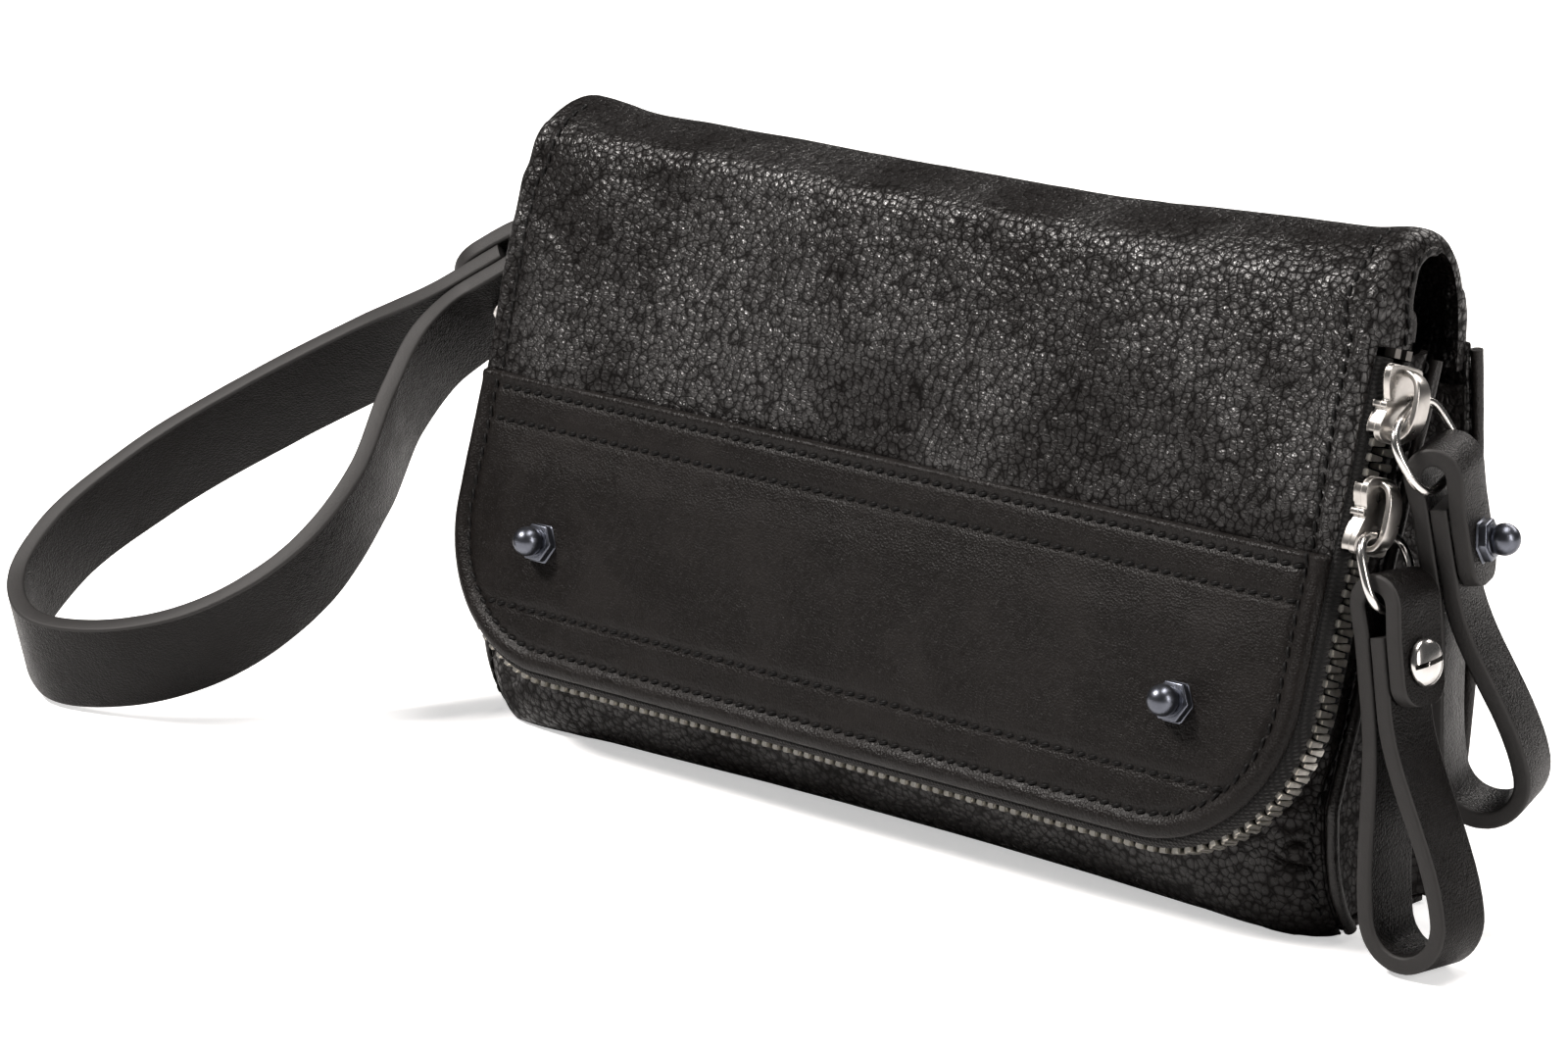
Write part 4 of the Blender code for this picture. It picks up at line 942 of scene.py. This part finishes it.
def make_back():
    z = np.linspace(0.9 * MM, BACK_TOP, 100)
    x = spaced(-1, 1, 0.06, 0.006, 0.02) * HALF
    grid = np.stack(np.broadcast_arrays(x[None], 0.0, z[:, None]), -1)
    quiet = step(HALF - np.abs(x), 0, 14 * MM)[None] * np.sin(pi * np.clip(z / (98 * MM), 0, 1))[:, None]
    grid[..., 1] = back_y(z)[:, None] - 0.8 * MM + quiet * 1.2 * MM
    grid[..., 1] += quiet * (0.8 * MM * noise(grid, 36 * MM, 121) + 0.25 * MM * noise(grid, 9 * MM, 131))
    grid[..., 1] -= 0.3 * MM * bump(BACK_TOP - grid[..., 2], BACK_SEAM, 0.9 * MM)
    inner = grid.copy()
    inner[..., 1] -= 1.3 * MM
    made = two_sided("back_leather", grid, inner, PEBBLED, 0.5 * MM)
    ride(made, "body", "pebbled_leather", "back_panel")
    u = np.linspace(-HALF + 4 * MM, HALF - 4 * MM, 300)
    depth = float(back_y(94 * MM)) - 0.75 * MM
    path = np.stack(np.broadcast_arrays(u, depth, BACK_TOP - BACK_SEAM), -1)
    stitch_row("back_top_stitches", path, vec(0, 1, 0), "body")
    z = np.linspace(4 * MM, 93 * MM, 160)
    for side, word in SIDES:
        path = np.stack([z * 0 + side * (HALF - BACK_SEAM), back_y(z) - 0.7 * MM, z], -1)
        stitch_row(f"back_side_stitches_{word}", path, vec(0, 1, 0), "body")


def make_gussets():
    for side, word in SIDES:
        z = np.linspace(1.7 * MM, 90 * MM, 72)
        t = np.linspace(0, 1, 36)
        front, back = seam_y(z) + 0.1 * MM, back_y(z) - 1.4 * MM
        fold = (3.0 + 6.3 * np.minimum(1, z / (60 * MM))) * MM
        grid = np.zeros((len(z), len(t), 3))
        swell = np.sin(pi * t) ** 0.8
        grid[..., 0] = side * (HALF - 0.6 * MM - fold[:, None] * swell[None])
        grid[..., 1] = front[:, None] + (back - front)[:, None] * t[None]
        grid[..., 2] = z[:, None]
        quiet = np.sin(pi * t)[None] ** 0.5
        rumple = 0.6 * MM * noise(grid, 15 * MM, 141 + side) + 0.2 * MM * noise(grid, 5 * MM, 151)
        grid[..., 0] += side * quiet * rumple
        thick = 1.0 * MM
        inner = grid + normals_of(grid) * side * thick
        made = two_sided(f"gusset_leather_{word}", grid, inner, GUSSET_LEATHER, thick * 0.4)
        ride(made, "body", "pebbled_leather", f"gusset_{word}")
        for place, line, shift in (("front", seam_y, 1.4 * MM), ("back", back_y, -1.0 * MM)):
            z = np.linspace(1.4 * MM, 96.4 * MM, 90)
            path = np.stack([np.full_like(z, side * PIPING_X), line(z) + shift, z], -1)
            size = 1.15 * MM * (1 + 0.07 * noise(path, 6 * MM, 161, 2))
            made = tube(f"{place}_piping_leather_{word}", path, U, size, PIPING_LEATHER, sides=16)
            ride(made, "body", "smooth_leather", f"{place}_piping_{word}")


def make_base():
    low, high = corner("base_panel", 0), corner("base_panel", 1)
    x = spaced(low[0], high[0], 4 * MM, 0.5 * MM, 3 * MM)
    y = spaced(low[1], high[1] + 0.6 * MM, 3 * MM, 0.5 * MM, 1.2 * MM)
    grid = np.stack(np.broadcast_arrays(x[None], y[:, None], 0.0), -1)
    top = grid.copy()
    top[..., 2] = 1.4 * MM
    made = two_sided("base_leather", grid, top, BODY_LEATHER, 0.4 * MM)
    ride(made, "body", "pebbled_leather", "base_panel")


# ---- sliders, rings, pulls


def plate(name, outline, place, near, far, bevel, material):
    """A flat plate: outline in the first two directions of place, thick in its third."""
    origin, first, second, third = place
    outline = np.asarray(outline, float)
    rings = []
    for depth in (near, far):
        rings.append(origin + first * outline[:, :1] + second * outline[:, 1:2] + third * depth)
    count = len(outline)
    faces = [(k, (k + 1) % count, (k + 1) % count + count, k + count) for k in range(count)]
    faces += [tuple(range(count)), tuple(range(count, 2 * count))]
    made = build(name, np.concatenate(rings), faces, material, 30)
    return soften(made, bevel, 3, 35)


def joined(name, parts, material):
    """Several finished pieces as one mesh."""
    vertices, faces = [], []
    for part in parts:
        finished(part)
        start = len(vertices)
        vertices += [part.matrix_world @ v.co for v in part.data.vertices]
        faces += [[i + start for i in f.vertices] for f in part.data.polygons]
        bpy.data.objects.remove(part)
    made = build(name, np.array([v[:] for v in vertices]), faces, material, 35)
    return finished(made, outward=False)


def mirrored(half_outline, across, along):
    """A closed outline from its right half, which runs from the bottom to the top."""
    right = [(a * across, b * along) for a, b in half_outline]
    return right + [(-a, b) for a, b in reversed(right)]


def rounded_off(x, power):
    """Turns a circle's sine or cosine into that of an oval nearer to a rectangle."""
    return np.sign(x) * np.abs(x) ** (2 / power)


def oblong(half, low, high):
    return [(-half, low), (half, low), (half, high), (-half, high)]


def make_slider(word, open_end):
    """Two plates joined by a neck, side flanges, and an oval crown with a slot under it."""
    centre = on_flap(np.float64(HALF + ZIP_OUT), np.float64(SLIDER_W[word]), np.float64(ZIP_Q))
    ahead = W * open_end
    half, wide = 6.5 * MM, 4.6 * MM
    near, far = 1.4 * MM, 2.5 * MM
    waist = wide * 0.97
    place = (centre, Q, ahead, U)
    # Right half of the face, in shares of its half width and half length.
    shield = [(0.74, -1.0), (0.93, -0.95), (1.0, -0.84), (0.97, -0.55), (0.80, -0.22), (0.72, -0.06)]
    shield += [(0.86, -0.02), (0.86, 0.12), (0.75, 0.16), (0.84, 0.34), (0.95, 0.58), (0.93, 0.78)]
    shield += [(0.72, 0.94), (0.35, 1.0)]
    shield = smooth_path(shield, 4)
    parts = [plate("outer", mirrored(shield, wide, half), place, near, far, 0.2 * MM, ANTIQUE)]
    inner = mirrored(shield, wide * 0.56, half * 0.96)
    parts.append(plate("inner", inner, place, -near - 0.9 * MM, -near, 0.25 * MM, ANTIQUE))
    neck = oblong(0.35 * MM, half - 3.6 * MM, half - 0.6 * MM)
    parts.append(plate("neck", neck, place, -near - 0.3 * MM, near + 0.3 * MM, 0.1 * MM, ANTIQUE))
    for sign, low in ((-1, -0.2 * MM), (1, 0.2 * MM)):
        # The flap's teeth swing past the upper slider's outer skirt, so that one is short.
        start = -0.03 if word == "upper" and sign < 0 else -0.95
        wall = [(a, b) for a, b in shield if start <= b <= 0.80]
        edge = [(sign * a * waist, b * half) for a, b in wall]
        edge += [(sign * (a * waist - 0.7 * MM), b * half) for a, b in reversed(wall)]
        parts.append(plate("skirt", edge, place, low, far - 0.5 * MM, 0.12 * MM, ANTIQUE))
    top, bar = far + CROWN_RISE[word], 1.1 * MM
    foot, sunk = half - 1.0 * MM, far - 0.4 * MM
    turn = np.linspace(0, pi, 35)
    over = foot * rounded_off(np.cos(turn), 2.7)
    above = sunk + (top - bar / 2 - sunk) * rounded_off(np.sin(turn), 2.7)
    arch = np.column_stack([over, above])
    path = even_path(arch, 0.4 * MM)
    centres = centre + ahead * path[:, :1] + U * path[:, 1:2]
    forward = unit(np.gradient(centres, axis=0))
    side = np.broadcast_to(Q, centres.shape)
    up = np.cross(forward, side)
    section, _ = rounded_box(1.0, bar, 0.26 * MM)
    reach = np.abs(path[:, 0]) / foot
    widths = (2.2 + 1.5 * root(1 - reach**2)) * MM
    parts.append(swept("crown", centres, side, up, widened(section, 0.5, widths / 2), ANTIQUE))
    body = f"{word}_slider"
    ride(joined(f"{body}_metal", parts, ANTIQUE), body, "antique_silver", body)


def ring_path(pivot, foot, side, half, power=3.0):
    """A rounded ring from its pivot down to its foot."""
    down = foot - pivot
    drop = np.linalg.norm(down)
    down = down / drop
    side = unit(side - down * (side @ down))
    a = full_turn(96)
    c, s = np.cos(a), np.sin(a)
    across = half * rounded_off(c, power)
    along = drop / 2 * (1 - rounded_off(s, power))
    return pivot + side * across[:, None] + down * along[:, None], np.cross(side, down)


def loop_profile(thick, reach, hollow, tab_end, belly):
    """Centre line of a doubled strap: from its front tab over the ring, round and back up."""
    layer = thick + 0.25 * MM
    turn = hollow + thick / 2
    shoulder = turn - 4.0 * MM - thick / 2
    clamp_top = 4.0 * MM
    points = [(layer, tab_end - d) for d in np.linspace(0, tab_end - clamp_top, 12)]
    points += [(turn * cos(a), shoulder - turn * sin(a)) for a in np.linspace(0, pi, 15)]
    points.append((-layer, clamp_top))
    points += [(-layer, d) for d in np.linspace(clamp_top, tab_end, 6)[1:]]
    start, foot = tab_end + 0.5 * MM, reach - thick / 2 - belly
    t = np.linspace(0, 1, 14)[:-1]
    points += [(-layer - (belly - layer) * step(k, 0, 1), start + (foot - start) * k) for k in t]
    points += [(-belly * cos(a), foot + belly * sin(a)) for a in np.linspace(0, pi, 17)]
    points += [(belly * step(k, 0, 1), start + (foot - start) * k) for k in t[::-1]]
    points += [(0.0, d) for d in np.linspace(tab_end, clamp_top - 0.4 * MM, 7)]
    return np.array(points)


STRAP_ROUND = 0.55 * MM


def strap(name, centres, side, wide, thick, corner_radius):
    """A leather strap with rubbed edges; its first end has rounded corners."""
    packed = np.column_stack([centres, np.broadcast_to(side, centres.shape)])
    lengths = run_lengths(centres)
    head = corner_radius * (1 - np.cos(np.linspace(0.16, pi / 2, 12)))
    body = np.arange(head[-1] + 0.8 * MM, lengths[-1], 0.95 * MM)
    where = np.concatenate([head, body, [lengths[-1]]])
    even = np.stack([np.interp(where, lengths, packed[:, k]) for k in range(6)], -1)
    centres, side = even[:, :3], even[:, 3:]
    ahead = unit(np.gradient(centres, axis=0))
    side, up = square_to(side, ahead)
    section, narrow = rounded_box(wide, thick, STRAP_ROUND)
    inset = corner_radius - np.minimum(where, corner_radius)
    reach = wide / 2 - corner_radius + root(corner_radius**2 - inset**2)
    room = np.maximum(reach - STRAP_ROUND, 0.05 * MM)
    sections = widened(section, wide / 2 - STRAP_ROUND, room)
    crown = 0.12 * MM * (1 - (sections[..., 0] / (wide / 2)) ** 2)
    sections[..., 1] += np.sign(section[:, 1])[None] * crown
    place = centres[:, None, :] + side[:, None, :] * sections[..., 0:1]
    sections[..., 1] += 0.05 * MM * noise(place, 7 * MM, 171, 2) * np.sign(section[:, 1])[None]
    return swept(name, centres, side, up, sections, [STRAP_LEATHER, EDGE_PAINT], slots=narrow, smooth=55)


def lathe(name, origin, axis, side, profile, material, sides=48):
    """A turned piece from (height, radius) pairs; both its ends are closed."""
    axis, side = unit(axis), unit(side)
    other = np.cross(axis, side)
    profile = np.asarray(profile, float)
    turn = full_turn(sides)
    ring = side[None] * np.cos(turn)[:, None] + other[None] * np.sin(turn)[:, None]
    rings = origin + axis * profile[:, None, :1] + ring[None] * profile[:, None, 1:2]
    faces = grid_faces(len(profile), sides, loop_columns=True) + end_faces(len(profile), sides)
    return build(name, rings, faces, material, 40)


def screw(name, head, axis, side, post, body, node):
    """A domed screw with a straight slot."""
    radius = 4.05 * MM
    profile = [(-post, 1.4 * MM), (0, 1.4 * MM), (0, radius - 0.15 * MM), (0.12 * MM, radius)]
    profile += [(0.45 * MM, radius)]
    for a in np.linspace(0.2, 1.5, 12):
        profile.append((0.45 * MM + 1.45 * MM * sin(a), radius * cos(a) ** 0.8 * 0.99))
    made = lathe(name, head, axis, side, profile, NICKEL)
    side = unit(side)
    other = np.cross(unit(axis), side)
    along = side * cos(0.12) + other * sin(0.12)
    across = np.cross(unit(axis), along)
    bar = oblong(6 * MM, -0.4 * MM, 0.4 * MM)
    cutter = plate("slot", bar, (head, along, across, unit(axis)), 0.95 * MM, 4 * MM, 0.01 * MM, NICKEL)
    cutter.modifiers.clear()
    cut = made.modifiers.new("slot", "BOOLEAN")
    cut.operation, cut.object, cut.solver = "DIFFERENCE", cutter, "EXACT"
    soften(made, 0.10 * MM, 2, 50)
    finished(made)
    bpy.data.objects.remove(cutter)
    ride(made, body, "nickel", node)


def ball_stud(name, foot, axis, side, body, node):
    """A ball on a short neck over a hexagonal foot."""
    axis, side = unit(axis), unit(side)
    other = np.cross(axis, side)
    turns = [k * pi / 3 for k in range(6)]
    hexagon = [(3.8 * MM * cos(a), 3.8 * MM * sin(a)) for a in turns]
    base = plate("hex", hexagon, (foot, side, other, axis), 0, 1.7 * MM, 0.28 * MM, GUNMETAL)
    ball_radius = 2.75 * MM
    profile = [(1.2 * MM, 2.9 * MM), (1.95 * MM, 2.8 * MM), (2.05 * MM, 2.2 * MM)]
    for a in np.linspace(-0.6, 1.53, 16):
        profile.append((3.7 * MM + ball_radius * sin(a), ball_radius * cos(a)))
    ball = lathe("ball", foot, axis, side, profile, GUNMETAL, 40)
    ride(joined(name, [base, ball], GUNMETAL), body, "gunmetal", node)


def washer(name, node, axis, body, finish, radius=3.3 * MM):
    """A round nut in the place of its CAD node."""
    centre = (corner(node, 0) + corner(node, 1)) / 2
    axis = unit(axis)
    side = unit(np.cross(axis, vec(0.3, 0.2, 0.9)))
    profile = [(-0.5, 0.6 * MM), (-0.5, radius - 0.2 * MM), (-0.35, radius), (0.15, radius)]
    profile += [(0.45, radius - 0.4 * MM), (0.5, radius - 0.9 * MM)]
    profile += [(0.5, 1.2 * MM), (0.15, 1.1 * MM), (0.15, 0.5 * MM)]
    profile = [(height * MM, wide) for height, wide in profile]
    made = finished(lathe(name, centre, axis, side, profile, finish, 36))
    ride(made, body, "nickel" if finish is NICKEL else "gunmetal", node)


def make_pulls():
    make_slider("upper", -1)
    make_slider("lower", 1)
    hangs = {"lower": vec(0.19, -0.07, -1.0), "upper": vec(0.122, 0.126, -0.985)}
    for word in ("lower", "upper"):
        pivot = EYES[word]
        foot = pivot_of(f"{word}_pull_swing")
        ring_side = -axis_of(f"{word}_ring_swing")
        path, across = ring_path(pivot, foot, ring_side, RING_HALF[word])
        made = tube(f"{word}_ring_wire", path, across, 0.8 * MM, NICKEL, loop=True, sides=18)
        ride(made, f"{word}_ring", "nickel", f"{word}_ring")
        side = -axis_of(f"{word}_pull_swing")
        down = unit(hangs[word] - side * (hangs[word] @ side))
        normal = np.cross(down, side)
        profile = loop_profile(PULL_THICK, PULL_LENGTH, 2.2 * MM, TAB_END[word], 7.4 * MM)
        centres = foot + normal * profile[:, :1] + down * profile[:, 1:2]
        made = strap(f"{word}_pull_leather", centres, side, PULL_WIDE, PULL_THICK, 4.2 * MM)
        ride(made, f"{word}_pull", "strap_leather", f"{word}_pull")
        at = foot + down * (TAB_END[word] - SCREW_INSET)
        head = at + normal * 4.95 * MM
        pull = f"{word}_pull"
        if word == "lower":
            screw("lower_pull_screw_head", head, normal, side, 10 * MM, pull, "lower_pull_screw")
        else:
            ball_stud("upper_pull_ball", head, normal, side, pull, "upper_pull_stud")
        finish = NICKEL if word == "lower" else GUNMETAL
        washer(f"{pull}_back_nut", f"{pull}_nut", -normal, pull, finish, 2.7 * MM)
    for side, word in SIDES:
        foot = on_flap(side * FLAP_STUD_U, FLAP_STUD_W, -1.25 * MM)
        ball_stud(f"flap_ball_{word}", foot, -Q, U, "flap", f"flap_stud_{word}")
        washer(f"flap_back_nut_{word}", f"flap_stud_nut_{word}", Q, "flap", GUNMETAL)


# ---- wrist strap


def make_wrist_strap():
    root = pivot_of("wrist_strap_swing")
    pivot = pivot_of("strap_ring_swing")
    side = -axis_of("wrist_strap_swing")
    down = unit(root - pivot)
    normal = np.cross(side, down)
    thick, wide = 3.4 * MM, 19.0 * MM
    layer, turn = thick + 0.25 * MM, 1.6 * MM + thick / 2

    def local(out, far):
        return root + normal * out + down * far

    points = [local(-layer, d * MM) for d in (17.0, 15.5, 13.0, 9.0, 4.0)]
    points += [local(-turn * cos(a), -turn * sin(a)) for a in np.linspace(0, pi, 7)]
    points += [local(layer, d * MM) for d in (4.0, 9.0, 12.5)]
    sides = [side] * len(points)
    # Places of the strap's loop in millimetres, and the direction across it at each.
    run = [
        ((-122.3, -8.5, 65.2), (0.2, -0.74, 0.66)),
        ((-121.6, -19.0, 56.0), (0.35, -0.72, 0.61)),
        ((-118.8, -30.5, 43.0), (0.37, -0.73, 0.57)),
        ((-121.5, -45.0, 28.0), (0.23, -0.67, 0.70)),
        ((-132.0, -60.0, 16.8), (0.10, -0.56, 0.82)),
        ((-149.0, -70.5, 11.2), (0.02, -0.43, 0.90)),
        ((-167.0, -72.5, 10.6), (0.08, -0.33, 0.94)),
        ((-179.0, -65.0, 15.8), (0.25, -0.42, 0.87)),
        ((-181.3, -54.0, 23.8), (0.23, -0.55, 0.81)),
        ((-174.5, -37.0, 36.0), (0.12, -0.62, 0.77)),
        ((-158.0, -19.0, 50.2), (0.02, -0.67, 0.75)),
        ((-139.5, -6.0, 62.4), (-0.04, -0.71, 0.70)),
    ]
    points += [vec(*place) * MM for place, _ in run]
    sides += [unit(vec(*across)) for _, across in run]
    points += [local(0, d * MM) for d in (17.0, 12.0, 4.0)]
    sides += [side] * 3
    path = smooth_path(np.column_stack([points, sides]), 14)
    made = strap("wrist_strap_leather", path[:, :3], path[:, 3:], wide, thick, 8.5 * MM)
    ride(made, "wrist_strap", "strap_leather", "wrist_strap")
    at = local(0, 9.0 * MM)
    head = at - normal * 5.5 * MM
    screw("strap_screw_head", head, -normal, side, 11 * MM, "wrist_strap", "strap_screw")
    washer("strap_back_nut", "strap_nut", normal, "wrist_strap", NICKEL)
    path, across = ring_path(pivot, root, side, 11.8 * MM, power=4.0)
    made = tube("strap_ring_wire", path, across, 1.1 * MM, NICKEL, loop=True, sides=18)
    ride(made, "strap_ring", "nickel", "strap_ring")

    seam = vec(-HALF - 4.7 * MM, 18.6 * MM, 91.4 * MM)
    reach = seam - pivot
    reach = reach - side * (reach @ side)
    inward = unit(reach)
    lift = np.cross(side, inward)
    end, middle = pivot + reach, pivot + reach / 2
    points = [end + lift * 0.8 * MM, middle + lift * 1.1 * MM]
    for a in np.linspace(0, pi, 9):
        points.append(pivot + (lift * cos(a) - inward * sin(a)) * 2 * MM)
    points += [middle - lift * 1.1 * MM, end - lift * 0.8 * MM]
    path = smooth_path(np.array(points)[::-1], 6)
    made = strap("strap_tab_leather", path, side, 13 * MM, 1.2 * MM, 2 * MM)
    ride(made, "body", "strap_leather", "strap_tab")


# ---- inside, and CAD pieces kept


def dress_kept_nodes():
    """CAD pieces that stay as they are get their material and softened edges."""
    finishes = {
        "card_pocket": (INNER_LEATHER, 0.25 * MM),
        "divider": (INNER_LEATHER, 0.25 * MM),
        "stop": (CAD_METAL, 0.3 * MM),
        "back_lining": (CAD_LINING, 0.2 * MM),
    }
    for name, node in frame["nodes"].items():
        for word, (finish, width) in finishes.items():
            if word in name:
                node.data.materials.clear()
                node.data.materials.append(finish)
                soften(node, width, 2, 40)


# ---- stage

WARM = (1.0, 0.955, 0.925)
WHITE = (1, 1, 1, 1)

def area_light(name, place, target, size, power):
    data = bpy.data.lights.new(name, "AREA")
    data.shape = "RECTANGLE"
    data.size, data.size_y = size
    data.energy = power
    data.color = WARM
    made = linked(name, data)
    made.location = place
    made.rotation_mode = "QUATERNION"
    made.rotation_quaternion = (Vector(target) - Vector(place)).to_track_quat("-Z", "Y")


def make_floor():
    mesh = bpy.data.meshes.new("table_top")
    far = 6.0  # metres each way
    mesh.from_pydata([(a, b, 0) for a, b in oblong(far, -far, far)], [], [(0, 1, 2, 3)])
    floor = linked("table_top", mesh)
    floor.location.z = -0.1 * MM
    paper = Shader("white_paper", (0.93, 0.93, 0.93), 0.8, coords="object")
    paper.set(Roughness=paper.spread(paper.noise(0.4), 0, 1, 0.75, 0.85))
    path = paper.node("ShaderNodeLightPath")
    clear = paper.math("MAXIMUM", path.outputs["Is Camera Ray"], path.outputs["Is Glossy Ray"])
    paper.blend_colour(clear, (0.30, 0.29, 0.28), (0.93, 0.93, 0.93))
    glow = paper.times(path.outputs["Is Camera Ray"], 0.5)
    paper.set(Emission_Color=WHITE, Emission_Strength=glow)
    mesh.materials.append(paper.material)


def make_world():
    """Soft white light that looks brighter to the camera than it shines."""
    world = bpy.data.worlds.new("studio")
    world.use_nodes = True
    tree = world.node_tree
    background = tree.nodes["Background"]
    background.inputs["Color"].default_value = WHITE
    seen = tree.nodes.new("ShaderNodeLightPath")
    level = tree.nodes.new("ShaderNodeMapRange")
    tree.links.new(seen.outputs["Is Camera Ray"], level.inputs["Value"])
    level.inputs["To Min"].default_value = 0.07
    level.inputs["To Max"].default_value = 1.0
    tree.links.new(level.outputs["Result"], background.inputs["Strength"])
    bpy.context.scene.world = world


def make_lights():
    wallet = (0, 0, 0.06)
    area_light("key", (-0.52, -0.58, 0.94), (0.03, 0, 0.07), (0.26, 0.20), 18)
    area_light("top_soft", (0.25, 0.10, 1.2), wallet, (0.7, 0.35), 9)
    area_light("right_strip", (1.05, -0.10, 0.45), wallet, (0.16, 0.6), 5)
    area_light("back_rim", (0.0, 1.0, 0.7), wallet, (1.0, 0.3), 7)
    settings = bpy.context.scene.view_settings
    settings.view_transform, settings.look = "Standard", "None"


def make_camera():
    right = Vector((0.7340, 0.6792, 0.0)).normalized()
    ahead = Vector((-0.6564, 0.7093, -0.2571)).normalized()
    up = right.cross(ahead).normalized()
    data = bpy.data.cameras.new("camera")
    data.lens, data.sensor_width = 136.5, 36.0
    data.clip_start, data.clip_end = 0.01, 20
    made = linked("camera", data)
    turn = Matrix((right, up, -ahead)).transposed().to_4x4()
    made.matrix_world = Matrix.Translation((0.67572, -0.77404, 0.32499)) @ turn
    bpy.context.scene.camera = made


make_band()
make_upper_leather()
make_flap_lining()
make_teeth()
make_tapes()
make_front()
make_back()
make_gussets()
make_base()
make_pulls()
make_wrist_strap()
dress_kept_nodes()
make_floor()
make_world()
make_lights()
make_camera()
